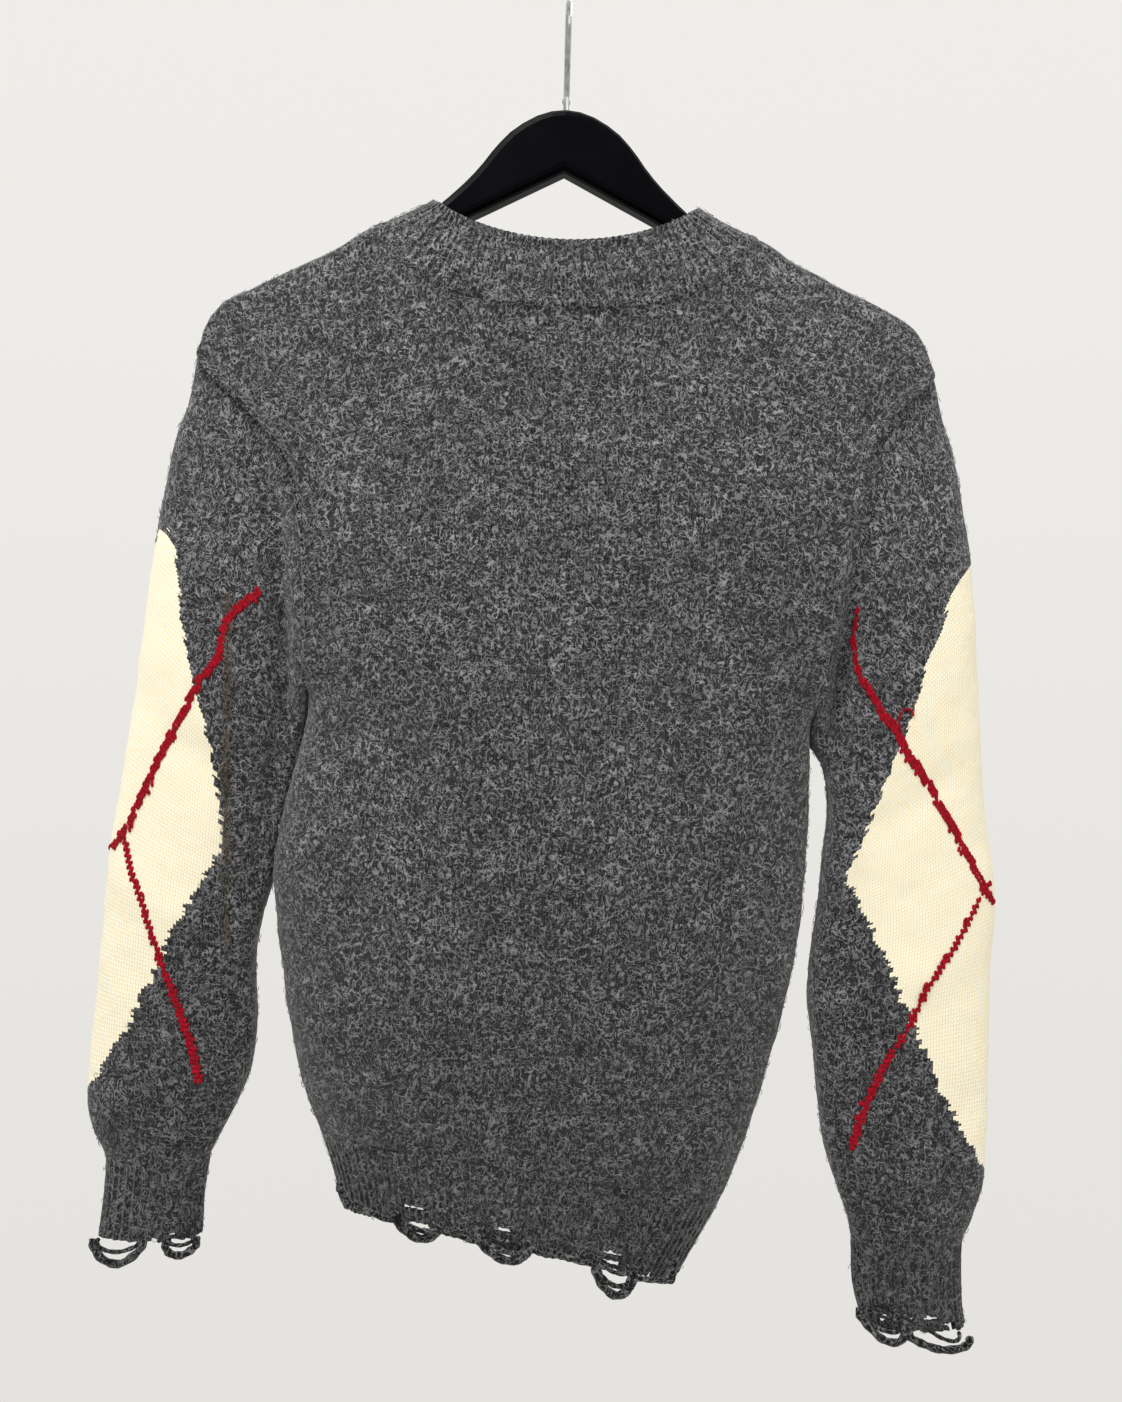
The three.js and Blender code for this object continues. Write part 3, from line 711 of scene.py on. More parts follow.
# The cream diamond's inner edge on each sleeve: z and x.
diamond_edge = (
    rising([(-310, -246), (-314, -236), (-323, -234), (-340, -233), (-359, -230.5),
            (-373, -230), (-392, -225.5), (-405, -223.5), (-411, -221), (-441, -214),
            (-464, -209.5), (-486, -206.5), (-510, -210.5), (-522, -219), (-535, -225.5),
            (-547, -233), (-560, -238.5), (-580, -248.5), (-599, -257.5), (-616, -266),
            (-630, -275), (-642, -283), (-649, -288)]),
    rising([(-328, 252), (-333, 237.5), (-343, 236), (-351, 231), (-371, 225.5), (-388, 218),
            (-409, 212), (-429, 206), (-450, 197), (-474, 187.5), (-495, 179), (-521, 169.5),
            (-534, 175), (-549, 182), (-568, 190), (-585, 198), (-600, 204), (-620, 213),
            (-640, 220), (-660, 230.5), (-686, 245), (-704, 254)]),
)


def sleeve_ring(side, share, count):
    """One ring, from the inner fold along the back to the outer fold and home: (x, y, z)."""
    cuff = max(share - 1, 0) / CUFF_SHARE
    end = lerp(CUFF_SEAM[side], CUFF_EDGE[side], cuff)
    tip_z = armhole_tips[side][2]
    outer_z = end if share > 1 else lerp(tip_z, CUFF_SEAM[side], share)
    inner_z = end if share > 1 else lerp(UNDERARM[side], CUFF_SEAM[side], share ** 1.5)
    first = share <= 0
    inner = (inner_fold[side](inner_z), SIDE_Y if first else sleeve_middle(share), inner_z)
    outer = (outer_fold[side](outer_z), 0 if first else sleeve_middle(share), outer_z)
    fade = max(1 - share / 0.46, 0) ** 2
    start_inner = (inner_fold[side](UNDERARM[side]), SIDE_Y, UNDERARM[side])
    start_outer = (outer_fold[side](tip_z), 0, tip_z)
    last = ARMHOLE_ROWS + 1
    ring = []
    for i in range(count):
        turn = 2 * math.pi * i / count
        share_out = (1 - math.cos(turn)) / 2
        bulge = abs(math.sin(turn)) ** 0.85 * math.copysign(1, math.sin(turn))
        point = [lerp(a, b, share_out) for a, b in zip(inner, outer)]
        point[1] -= sleeve_depth(share) * bulge
        if fade:
            start = [lerp(a, b, share_out) for a, b in zip(start_inner, start_outer)]
            start[1] -= sleeve_depth(0) * bulge
            step = turn / math.pi * last
            face, step = ("back", step) if step <= last else ("front", 2 * last - step)
            goal = armhole(side, face, step)
            point = [p + (g - s) * fade for p, g, s in zip(point, goal, start)]
        ring.append(point)
    return ring


# Folds that the hanging arm takes, on the back and, alike, on the hidden side.
sleeve_creases = (
    [((-195, -350), (-185, -560), 6, 2.6), ((-235, -250), (-205, -380), 12, 2.6),
     ((-250, -420), (-190, -470), 12, 2.0), ((-262, -520), (-200, -560), 12, -1.6),
     ((-270, -610), (-215, -640), 11, 2.0), ((-212, -212), (-180, -250), 6, 6.0),
     ((-184, -244), (-165, -320), 7, 10.0), ((-167, -300), (-165, -430), 7, 15.0),
     ((-167, -410), (-184, -520), 8, 14.0)],
    [((170, -440), (163, -600), 7, 2.6), ((222, -270), (198, -380), 12, 2.6),
     ((240, -450), (180, -490), 12, 2.0), ((245, -560), (175, -600), 12, -1.6),
     ((235, -660), (180, -690), 11, 2.0), ((214, -222), (188, -248), 6, 6.0),
     ((190, -246), (172, -330), 7, 10.0), ((170, -300), (160, -420), 8, 16.0),
     ((160, -390), (162, -470), 8, 15.0)],
)


def sleeve_rings(side, shares, count):
    """All rings of a sleeve, creased, as places in metres."""
    rings = []
    for share in shares:
        ring = []
        for i, point in enumerate(sleeve_ring(side, share, count)):
            face = "back" if i < count / 2 else "front"
            x, y, z = point
            depth = sum(crease(x, z, *each) for each in sleeve_creases[side])
            ease = abs(math.sin(2 * math.pi * i / count)) * min(share * 6, 1)
            ring.append(pinned(x, y - faces_away[face] * depth * ease, z))
        rings.append(ring)
    return rings


def arc_lengths(ring):
    """How far round each point is from the outer fold, in metres, plus on the back."""
    count = len(ring)
    half = count // 2
    lengths = [0.0] * count
    for way in (1, -1):
        total = 0.0
        for step in range(1, half + 1):
            here, there = (half - way * step) % count, (half - way * (step - 1)) % count
            total += (ring[here] - ring[there]).length
            if way > 0 or step < half:
                lengths[here] = way * total
    return lengths


def drawn_flat(point):
    """Where a place lies on the flat chart of the sleeves, which is drawn at the hanger."""
    nearer = CAMERA_AWAY / (CAMERA_AWAY + point.y)
    x = CAMERA_X + (point.x - CAMERA_X) * nearer
    z = CAMERA_Z + (point.z - CAMERA_Z) * nearer
    return x / MM - SWAY, z / MM


def arc_at(ring, lengths, line, low, high):
    """How far round from the outer fold a line of x by z lies on the back half."""
    half = len(ring) // 2
    for i in range(half - 1, -1, -1):
        here, there = drawn_flat(ring[i]), drawn_flat(ring[i + 1])
        gap = [here[0] - line(here[1]), there[0] - line(there[1])]
        if low < here[1] < high and (gap[0] < 0) != (gap[1] < 0):
            share = gap[1] / (gap[1] - gap[0])
            return lerp(lengths[i + 1], lengths[i], share)
    return None


SLEEVE_POINTS = 120
SLEEVE_ROWS = 190
sleeve_shares = [i / SLEEVE_ROWS for i in range(SLEEVE_ROWS + 1)]
diamond_ends = ((-652, -312), (-704, -330))
# How far the diamond's middle lies off the fold, towards the back, down the sleeve.
diamond_middle = (
    rising([(-318, 24), (-332, 17), (-345, 13), (-375, 9), (-494, 5), (-650, 0.5)]),
    rising([(-333, 14), (-342, 10), (-362, 7), (-527, 6.5), (-700, 1)]),
)


def tube(rings, lengths, side, middles):
    """A grid rolled into a tube over the rings, its chart in metres from the diamond's middle."""
    count, rows = len(rings[0]), len(rings) - 1
    cloth = bmesh.new()
    chart = cloth.loops.layers.uv.new("chart")
    bmesh.ops.create_grid(cloth, x_segments=count, y_segments=rows, size=0.5, calc_uvs=True)
    run = sum((rings[k + 1][0] - rings[k][0]).length for k in range(rows))
    flip = side == 1
    for patch in cloth.faces[:]:
        for loop in patch.loops:
            u, v = loop[chart].uv
            i, k = round(u * count), round((1 - v) * rows)
            i = count - i if flip else i
            arc = lengths[k][i % count]
            if i % count == 0 and u * count != i:
                arc = -arc
            loop[chart].uv = (arc - middles[k], (1 - v) * run)
    return cloth, flip


def on_grid(corner, count, rows, flip):
    """A corner of the flat grid: how far round its ring it lies, and which ring that is."""
    i, k = round((corner.co.x + 0.5) * count), round((0.5 - corner.co.y) * rows)
    return (count - i if flip else i) % count, k


argyle_wool, tree, shader, place = new_material("argyle_wool")
chart = add(tree, "ShaderNodeUVMap", uv_map="chart").outputs[0]
grey, grey_height = grey_yarn(tree, place, chart)
split = parts(tree, chart)
from_fold = sums(tree, "ABSOLUTE", split[0])
inside = add(tree, "ShaderNodeAttribute", attribute_name="diamond").outputs["Fac"]
edge = sums(tree, "ADD", from_fold, inside)
row = sums(tree, "FLOOR", sums(tree, "DIVIDE", split[1], COURSE * 1.3))
ragged = add(tree, "ShaderNodeTexWhiteNoise", {"W": row}, noise_dimensions="1D").outputs["Value"]
edge_stitch = sums(tree, "MULTIPLY_ADD", ragged, 2.8, sums(tree, "DIVIDE", edge, WALE))
edge_stitch = sums(tree, "SUBTRACT", edge_stitch, 1.0)
edge_stitch = sums(tree, "MULTIPLY", sums(tree, "FLOOR", edge_stitch), WALE)
cream_share = ramp(tree, sums(tree, "SUBTRACT", edge_stitch, from_fold), -0.0001, 0.0001)
knit = stitches(tree, chart)
soft = specks(tree, place, 0.008, detail=3)
# The cream goes brownish in the gaps between the stitches' loops: painted shade in the knit's hollows.
loops = ramp(tree, knit, 0.1, 0.75)
cream = blend(tree, loops, dye(240, 219, 168), dye(255, 254, 238))
cream = blend(tree, ramp(tree, soft, 0.35, 0.75, 0.0, 0.3), cream, dye(255, 246, 214))
colour = blend(tree, cream_share, grey, cream)
paint(tree, shader, colour)
raised = sums(tree, "MULTIPLY_ADD", knit, 0.8, 0.35)
height = sums(tree, "MULTIPLY", raised, cream_share)
grey_share = sums(tree, "SUBTRACT", 1, cream_share)
height = sums(tree, "ADD", height, sums(tree, "MULTIPLY", grey_height, grey_share))
bump(tree, shader, height, 0.0005, 0.7)
settle(shader, {"Roughness": 0.92, "Specular IOR Level": 0.15, "Sheen Weight": 0.2})

sleeve_data = {}
for side, name in enumerate(("left", "right")):
    rings = sleeve_rings(side, sleeve_shares, SLEEVE_POINTS)
    lengths = [arc_lengths(ring) for ring in rings]
    fold_heights = [ring[SLEEVE_POINTS // 2].z / MM for ring in rings]
    middles = [diamond_middle[side](height) * MM for height in fold_heights]
    cloth, flip = tube(rings, lengths, side, middles)
    inside = cloth.verts.layers.float.new("diamond")
    low, high = diamond_ends[side]
    edges = [
        arc_at(ring, arc, diamond_edge[side], low, high) for ring, arc in zip(rings, lengths)
    ]
    for corner in cloth.verts:
        i, k = on_grid(corner, SLEEVE_POINTS, SLEEVE_ROWS, flip)
        corner.co = rings[k][i]
        reach = edges[k] - middles[k] if edges[k] is not None else -0.02
        corner[inside] = reach - abs(lengths[k][i] - middles[k])
    closed(cloth)
    felted(cloth, 0.0003)
    sleeve = with_wall(finished(f"sleeve_knit_{name}", cloth, argyle_wool))
    sleeve_data[side] = (rings, lengths)
    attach(sleeve, "root")
    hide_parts(f"sleeve_{name}")

# ------------------------------------------------------------------ red lines
# Two crossing lines of scarlet wool are darned over each diamond, stitch by
# stitch. Each stitch is a short slanting loop, three columns wide in all.
red_lines = (
    (
        rising([(-345, -180.6), (-355, -191.4), (-361, -199), (-368, -204), (-380, -207),
                (-389, -209), (-397, -215.4), (-405, -221), (-424, -230.5), (-447, -243),
                (-474, -255.6), (-494, -265.5), (-504, -274)]),
        rising([(-484, -273), (-494, -265.5), (-506, -263.4), (-524, -258.6), (-553, -249),
                (-567, -244.8), (-582, -238.8), (-599, -232.8), (-612, -228), (-625, -224.4),
                (-647, -219)]),
    ),
    (
        rising([(-355, 175.8), (-371, 173.4), (-379, 172.2), (-400, 176.4), (-411, 183.6),
                (-423, 190.2), (-431, 197.4), (-440, 201.6), (-464, 216.6), (-493, 232.8),
                (-527, 251.4), (-539, 258)]),
        rising([(-518, 257), (-527, 251.4), (-538, 246), (-565, 231.6), (-590, 215.4),
                (-614, 204), (-627, 195), (-656, 180.6), (-685, 171)]),
    ),
)
red_ends = (((-504, -348), (-647, -484)), ((-539, -355), (-685, -518)))
RED_COURSE = 0.0019
RED_WALE = 0.0015

red_wool, tree, shader, place = new_material("red_wool")
twist = specks(tree, place, 0.0007, (1, 1, 0.35), detail=2)
shade = specks(tree, place, 0.006, detail=2)
scarlet = blend(tree, ramp(tree, twist, 0.3, 0.7), dye(104, 0, 12), dye(176, 8, 36))
shaded = ramp(tree, shade, 0.4, 0.8, 0, 0.5)
paint(tree, shader, blend(tree, shaded, scarlet, dye(122, 0, 14)))
settle(shader, {"Roughness": 0.9, "Specular IOR Level": 0.2})
bump(tree, shader, twist, 0.0002, 0.7)


def on_rings(rings, lengths, row, arc):
    """A place on a sleeve by its ring and its way round, with its outward and upward ways."""
    k = min(int(row), len(rings) - 2)
    count = len(rings[0])
    half = count // 2
    places = []
    for ring, lengths_there in ((rings[k], lengths[k]), (rings[k + 1], lengths[k + 1])):
        step = -1 if arc >= 0 else 1
        i = half
        while abs(i - half) < half - 1 and abs(lengths_there[(i + step) % count]) < abs(arc):
            i += step
        near, far = lengths_there[i % count], lengths_there[(i + step) % count]
        share = (arc - near) / (far - near) if far != near else 0
        places.append((ring[i % count].lerp(ring[(i + step) % count], share),
                       (ring[(i - step) % count] - ring[(i + step) % count]) * step))
    place = places[0][0].lerp(places[1][0], row - k)
    up = (places[0][0] - places[1][0]).normalized()
    round_way = places[0][1].normalized()
    return place, up, round_way


def strewn(name, seed_shape, placings, material):
    """One mesh of many like shapes, each at its own (place, along, out, sizes)."""
    mesh = bpy.data.meshes.new("one")
    seed_shape.to_mesh(mesh)
    corners = np.array([v.co for v in mesh.vertices])
    patches = [tuple(p.vertices) for p in mesh.polygons]
    bpy.data.meshes.remove(mesh)
    places, ways = [], []
    for place, along, out, sizes in placings:
        side_way = along.cross(out).normalized()
        out = side_way.cross(along).normalized()
        places.append(place)
        ways.append([along * sizes[0], side_way * sizes[1], out * sizes[2]])
    points = np.einsum("vk,nkc->nvc", corners, np.array(ways)) + np.array(places)[:, None, :]
    count = len(corners)
    faces = [tuple(c + n * count for c in patch) for n in range(len(places)) for patch in patches]
    mesh = bpy.data.meshes.new(name)
    mesh.from_pydata(points.reshape(-1, 3).tolist(), [], faces)
    return set_down(name, mesh, material)


red_stitch = bmesh.new()
bmesh.ops.create_icosphere(red_stitch, subdivisions=2, radius=0.5)
chance = random.Random(11)
for side, name in enumerate(("left", "right")):
    rings, lengths = sleeve_data[side]
    run = sum((rings[k + 1][0] - rings[k][0]).length for k in range(SLEEVE_ROWS))
    placings = []
    for line, (low, high) in zip(red_lines[side], red_ends[side]):
        arcs = [arc_at(ring, arc, line, low, high) for ring, arc in zip(rings, lengths)]
        rows = int(run / RED_COURSE)
        for course in range(rows):
            row = course / rows * SLEEVE_ROWS
            k = int(row)
            if arcs[k] is None or arcs[min(k + 1, SLEEVE_ROWS)] is None:
                continue
            arc = lerp(arcs[k], arcs[k + 1], row - k)
            column = round(arc / RED_WALE)
            for wale in (-1, 0, 1, 2):
                if wale == 2 and chance.random() > 0.12:
                    continue
                if abs(wale) == 1 and chance.random() < 0.08:
                    continue
                for way in (1, -1):
                    here = way * (column + wale) * RED_WALE + chance.uniform(-0.0002, 0.0002)
                    place, up, round_way = on_rings(rings, lengths, row, here)
                    out = up.cross(round_way)
                    if out.y * -way < 0:
                        out = -out
                    slant = up + round_way * chance.uniform(0.15, 0.45) * (1 if wale % 2 else -1)
                    sizes = (chance.uniform(0.0034, 0.0042), 0.0022, 0.0016)
                    placings.append((place + out * 0.0003, slant.normalized(), out, sizes))
    stitched = strewn(f"red_stitches_{name}", red_stitch, placings, red_wool)
    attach(stitched, "root")
red_stitch.free()

# ------------------------------------------------------------------ cuffs
# Each cuff is a tube of one-and-one rib, 49 to 55 mm long, picked up from the
# sleeve. Its edge has run, so it ends in rolled, ragged loops.
CUFF_RIBS = 34
# Where the knitting has run near an edge: middle x and z, half width, half height, tilt.
cuff_runs = (
    [(-270.5, -739.3, 4.6, 1.5, -0.1), (-267.5, -742.6, 8.5, 1.4, 0.0),
     (-237.5, -735.2, 4.4, 1.0, 0.1), (-246.6, -739.0, 2.0, 1.8, 0.0)],
    [(191.0, -779.5, 6.2, 1.3, -0.35), (190.0, -785.0, 4.2, 2.6, -0.2),
     (218.5, -785.5, 4.4, 1.5, 0.0), (230.5, -790.0, 4.2, 1.7, 0.1),
     (207.5, -786.0, 1.6, 1.4, 0.0)],
)


def run_out(cloth, runs):
    """Takes out the stitches that have run on the back, so that light shows through."""
    gone = []
    for patch in cloth.faces:
        middle = patch.calc_center_median()
        if patch.normal.y > 0:
            continue
        x, z = drawn_flat(middle)
        for at_x, at_z, wide, high, tilt in runs:
            across_run = (x - at_x) * math.cos(tilt) + (z - at_z) * math.sin(tilt)
            up_run = (z - at_z) * math.cos(tilt) - (x - at_x) * math.sin(tilt)
            if (across_run / wide) ** 2 + (up_run / high) ** 2 < 1:
                gone.append(patch)
                break
    bmesh.ops.delete(cloth, geom=gone, context="FACES")


CUFF_ROWS = 26
cuff_shares = [1 + CUFF_SHARE * i / CUFF_ROWS for i in range(CUFF_ROWS + 1)]
for side, name in enumerate(("left", "right")):
    count = CUFF_RIBS * 6
    rings = sleeve_rings(side, cuff_shares, count)
    for k, ring in enumerate(rings):
        middle = sum(ring, Vector()) / count
        for i, point in enumerate(ring):
            out = point - middle
            wave = 0.0007 * math.cos(2 * math.pi * i / 6) * min(k / 4, 1)
            ragged = 0.0022 * noise.noise(Vector((i / 9, side * 9.0, 0))) * (k / CUFF_ROWS) ** 6
            point += out.normalized() * wave + Vector((0, 0, ragged))
    lengths = [arc_lengths(ring) for ring in rings]
    cloth, flip = tube(rings, lengths, side, [0] * len(rings))
    for corner in cloth.verts:
        i, k = on_grid(corner, count, CUFF_ROWS, flip)
        corner.co = rings[k][i]
    closed(cloth)
    run_out(cloth, cuff_runs[side])
    felted(cloth, 0.0002)
    cuff = with_wall(finished(f"cuff_knit_{name}", cloth, grey_wool), RIB_WALL)
    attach(cuff, "root")
    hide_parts(f"cuff_{name}")

# ------------------------------------------------------------------ hem ribs
# The hem is a band of one-and-one rib, knitted on, 46 mm high. It slopes with
# the askew hang, and its edge has laddered in three places at the back.
HEM_RIBS = 54
hem_runs = [
    (-91.5, -719.2, 8.4, 1.2, -0.22), (-88.5, -730.0, 8.6, 1.8, -0.2),
    (-37, -733.0, 7.6, 1.3, -0.2), (-37, -739.2, 8.2, 1.4, -0.2),
    (-78, -731.5, 1.2, 1.2, 0), (27, -746.5, 6.0, 1.2, -0.2), (27.5, -752.0, 6.4, 1.4, -0.2),
    (28, -757.6, 6.0, 1.4, -0.2), (49.8, -759, 1.3, 2.6, 0),
]


def hem(face):
    def place(share, up):
        column = column_at(share if face == "back" else 1 - share)
        x, y, z = torso(face, column, lerp(0, HEM_SEAM_SHARE, up))
        wave = ribbed(HEM_RIBS, share, 0.6) * min((1 - up) * 5, 1)
        wobble = 1.6 * noise.noise(Vector((share * 22, 3.3, 0))) * (1 - up) ** 4
        return x, y + faces_away[face] * wave, z + wobble
    return place


for face in ("back", "front"):
    made = sheet(HEM_RIBS * 6, 34, hem(face), (0.24, 0.046))
    made.normal_update()
    if face == "back":
        run_out(made, hem_runs)
    felted(made, 0.0002)
    band = with_wall(finished(f"hem_knit_{face}", made, grey_wool), RIB_WALL)
    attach(band, "root")
    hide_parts(f"hem_rib_{face}")

# ------------------------------------------------------------------ loose loops
# Below each run the cast-off edge hangs free as a rolled loop, with thinner
# strands of yarn across it. They are single lengths, still caught at both ends.
def placed(x, z, y):
    """A place given flat, at the hanger, brought to its own depth. All in millimetres."""
    nearer = (CAMERA_AWAY + y * MM) / CAMERA_AWAY
    flat_x, flat_z = (x + SWAY) * MM, z * MM
    return Vector((CAMERA_X + (flat_x - CAMERA_X) * nearer, y * MM,
                   CAMERA_Z + (flat_z - CAMERA_Z) * nearer))


YARN_SIDES = 8
YARN_TWIST = 0.16


def yarn(made, places, radius, steps=30):
    """A round length of yarn through the places, thicker and thinner where it is plied."""
    last = len(places) - 1
    lines = [through([(i, place[k]) for i, place in enumerate(places)]) for k in range(3)]
    run = [Vector([line(last * i / steps) for line in lines]) for i in range(steps + 1)]
    ring = bmesh.ops.create_circle(made, cap_ends=False, segments=YARN_SIDES, radius=radius)["verts"]
    edges = list({edge for corner in ring for edge in corner.link_edges})
    rings = [ring]
    for _ in range(steps):
        grown = bmesh.ops.extrude_edge_only(made, edges=edges)["geom"]
        edges = [part for part in grown if isinstance(part, bmesh.types.BMEdge)]
        fresh = [part for part in grown if isinstance(part, bmesh.types.BMVert)]
        edges = [edge for edge in edges if all(corner in fresh for corner in edge.verts)]
        rings.append(sorted(fresh, key=lambda corner: math.atan2(corner.co.y, corner.co.x)))
        for corner, old in zip(rings[-1], sorted(ring, key=lambda c: math.atan2(c.co.y, c.co.x))):
            corner.co = old.co.copy()
    for i, each in enumerate(rings):
        ahead = (run[min(i + 1, steps)] - run[max(i - 1, 0)]).normalized()
        side_way = ahead.cross(Vector((0, 1, 0.001))).normalized()
        out = side_way.cross(ahead).normalized()
        for corner in each:
            turn = math.atan2(corner.co.y, corner.co.x)
            size = radius * (1 + YARN_TWIST * math.sin(2 * turn + i * 1.4))
            size *= 0.55 if i in (0, steps) else 1
            corner.co = run[i] + (side_way * math.cos(turn) + out * math.sin(turn)) * size
    for each in (rings[0], rings[-1]):
        bmesh.ops.contextual_create(made, geom=each)


def drop(start, end, depth, y):
    """A strand that leaves the edge, sags by so much and comes back to it."""
    middle_x, middle_z = (start[0] + end[0]) / 2, (start[1] + end[1]) / 2 - depth
    left_x, right_x = lerp(start[0], middle_x, 0.42), lerp(end[0], middle_x, 0.42)
    return [
        placed(start[0] + 0.5, start[1] + 4, y + 1), placed(start[0], start[1], y),
        placed(left_x - 1.2, start[1] - depth * 0.66, y - 0.6), placed(middle_x, middle_z, y - 1),
        placed(right_x + 1.2, end[1] - depth * 0.60, y - 0.6), placed(end[0], end[1], y),
        placed(end[0] - 0.5, end[1] + 4, y + 1),
    ]


loose = {}
# start, end, how far it hangs, radius
loose["hem_back"] = (-22, [
    ((-102.5, -725), (-75.5, -730.5), 9.5, 2.5), ((-100, -726), (-79, -731), 3.5, 1.6),
    ((-52.5, -738), (-22.5, -744.5), 9.0, 2.5), ((-50, -738), (-25, -744), 4.0, 1.6),
    ((-49, -733), (-26, -739), 3.0, 1.2), ((17.5, -756), (40.5, -761), 13.0, 2.5),
    ((20, -757), (38, -761.5), 6.5, 1.5), ((20, -752), (37, -757), 3.0, 1.3),
    ((-131, -717), (-103, -725.5), 0.6, 1.7), ((-76, -731.5), (-52, -738.5), 0.6, 1.7),
    ((-23, -742.5), (18, -751.5), 0.6, 1.7), ((40, -761), (64, -762.5), 0.6, 1.7),
    ((-135.5, -707), (-131, -717), -0.6, 2.6), ((62.5, -760), (65.5, -754), 0.8, 2.6),
])
loose["cuff_left"] = (-6, [
    ((-283.8, -741.5), (-253.5, -740), 12.0, 2.4), ((-281, -741), (-256, -740), 5.0, 1.3),
    ((-240.5, -742), (-221.5, -740), 6.5, 2.3), ((-238, -739), (-224, -738), 3.0, 1.2),
])
loose["cuff_right"] = (-6, [
    ((176, -783), (204, -794), 9.5, 2.3), ((178, -785), (202, -791), 4.5, 1.3),
    ((206, -796), (242, -800), 6.0, 2.3), ((214, -790), (236, -797), 3.5, 1.2),
    ((178, -779), (200, -785), 2.0, 1.1),
])
for name, (depth, strands) in loose.items():
    made = bmesh.new()
    for start, end, sag, radius in strands:
        yarn(made, drop(start, end, sag, depth), radius * MM)
    bmesh.ops.recalc_face_normals(made, faces=made.faces)
    loops = finished(f"loose_loops_{name}", made, grey_wool)
    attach(loops, "root")


def lying_on(piece, x, z):
    """Where a place given flat falls on a piece, and the way out of the cloth there."""
    eye = camera.location
    found, place, out = piece.ray_cast(eye, (placed(x, z, 0) - eye).normalized())[:3]
    return (place, out) if found else (placed(x, z, 0), Vector((0, -1, 0)))


# One red end has slipped out beside the right sleeve's line.
bpy.context.view_layer.update()
right_sleeve = bpy.data.objects["sleeve_knit_right"]
red_end_places = []
for x, z in ((200.5, -434), (199.5, -426), (202.5, -420.5), (206.5, -420.5), (208.5, -424)):
    place, out = lying_on(right_sleeve, x, z)
    red_end_places.append(place + out * 0.0008)
made = bmesh.new()
yarn(made, red_end_places, 0.0006, steps=20)
bmesh.ops.recalc_face_normals(made, faces=made.faces)
red_end = finished("red_end_right", made, red_wool)
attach(red_end, "root")

# ------------------------------------------------------------------ brushed hairs
# The grey wool is brushed, so short curled hairs stand off it all over and show
# along its outline. Each is one thin bent hair, lying nearly flat.
hair_wool, tree, shader, place = new_material("brushed_hair")
tip = specks(tree, place, 0.003, detail=2)
tip = ramp(tree, tip, 0.3, 0.7)
paint(tree, shader, blend(tree, tip, dye(52, 53, 56), dye(150, 151, 154)))
settle(shader, {"Roughness": 0.9, "Specular IOR Level": 0.2, "Sheen Weight": 0.2})

one_hair = bmesh.new()
bmesh.ops.create_circle(one_hair, cap_ends=True, segments=3, radius=0.045)
upright = Matrix.Rotation(math.pi / 2, 3, "X")
bmesh.ops.rotate(one_hair, verts=one_hair.verts, cent=(0, 0, 0), matrix=upright)
bmesh.ops.translate(one_hair, verts=one_hair.verts, vec=(0.5, 0, 0))
bmesh.ops.spin(one_hair, geom=one_hair.faces[:], cent=(0, 0, 0), axis=(0, 0, 1),
               dvec=(0, 0, 0.06), angle=math.radians(170), steps=3, use_duplicate=False)
bmesh.ops.recalc_face_normals(one_hair, faces=one_hair.faces)


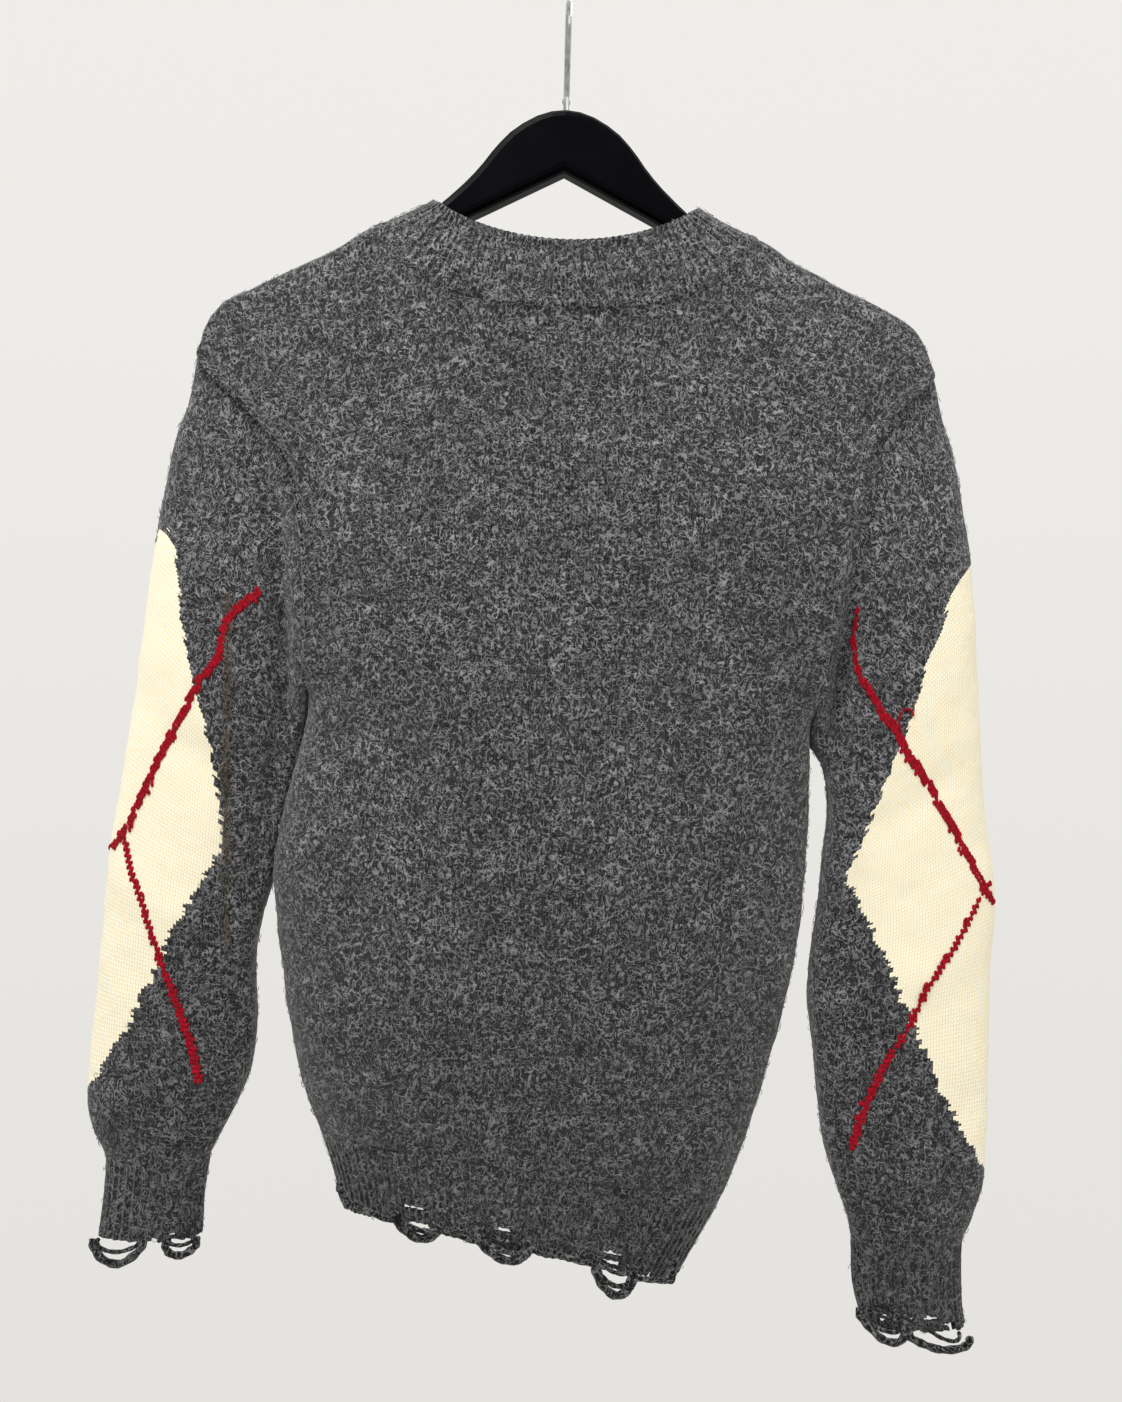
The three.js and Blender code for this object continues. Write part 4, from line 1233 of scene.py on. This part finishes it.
def hairs_on(name, piece, count, seed, skip_cream=False):
    """Strews hairs over a piece's outer face."""
    draw = random.Random(seed)
    mesh = piece.data
    mesh.calc_loop_triangles()
    patches = list(mesh.polygons)
    areas = np.cumsum([patch.area for patch in patches])
    cream = mesh.attributes.get("diamond") if skip_cream else None
    placings = []
    for _ in range(count):
        patch = patches[int(np.searchsorted(areas, draw.random() * areas[-1]))]
        if cream and cream.data[patch.vertices[0]].value > 0:
            continue
        spots = [mesh.vertices[i].co for i in patch.vertices]
        place = spots[0].lerp(spots[1], draw.random()).lerp(
            spots[3 % len(spots)].lerp(spots[2], draw.random()), draw.random())
        out = patch.normal
        along = Vector([draw.uniform(-1, 1) for _ in range(3)])
        along = (along - along.dot(out) * out).normalized()
        lift = (out * draw.uniform(0.0, 0.5) + along).normalized()
        size = draw.uniform(0.0022, 0.0048)
        sizes = (size, size * draw.uniform(0.5, 1.3), size)
        placings.append((place + out * 0.0002, lift, out + along * 0.001, sizes))
    fuzz = strewn(name, one_hair, placings, hair_wool)
    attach(fuzz, "root")


hairs_on("hairs_back", back, 5000, 21)
hairs_on("hairs_front", front, 2300, 22)
hairs_on("hairs_neck", neck, 600, 23)
for side, name in enumerate(("left", "right")):
    hairs_on(f"hairs_sleeve_{name}", bpy.data.objects[f"sleeve_knit_{name}"], 2400, 24 + side, True)
    hairs_on(f"hairs_cuff_{name}", bpy.data.objects[f"cuff_knit_{name}"], 250, 26 + side)
for face in ("back", "front"):
    hairs_on(f"hairs_hem_{face}", bpy.data.objects[f"hem_knit_{face}"], 300, 28)

# A row of soiled, brownish fibres stands along the left sleeve's fold.
soiled_wool, tree, shader, place = new_material("soiled_wool")
grime = specks(tree, place, 0.003, detail=2)
grime = ramp(tree, grime, 0.3, 0.7)
paint(tree, shader, blend(tree, grime, dye(84, 77, 68), dye(150, 138, 120)))
settle(shader, {"Roughness": 0.9, "Specular IOR Level": 0.2})
left_sleeve = bpy.data.objects["sleeve_knit_left"]
draw = random.Random(31)
placings = []
SOILED_FIBRES = 420
SOILED_X = -204.5
for _ in range(SOILED_FIBRES):
    z = draw.uniform(-560, -350)
    place, out = lying_on(left_sleeve, SOILED_X + draw.gauss(0, 1.5) + (z + 450) * 0.012, z)
    along = Vector((draw.uniform(-0.35, 0.35), draw.uniform(-0.1, 0.1), 1)).normalized()
    size = draw.uniform(0.0026, 0.0056)
    placings.append((place + out * 0.0003, along, out, (size, size * draw.uniform(0.3, 0.8), size)))
soiled = strewn("soiled_fibres_left", one_hair, placings, soiled_wool)
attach(soiled, "root")
one_hair.free()
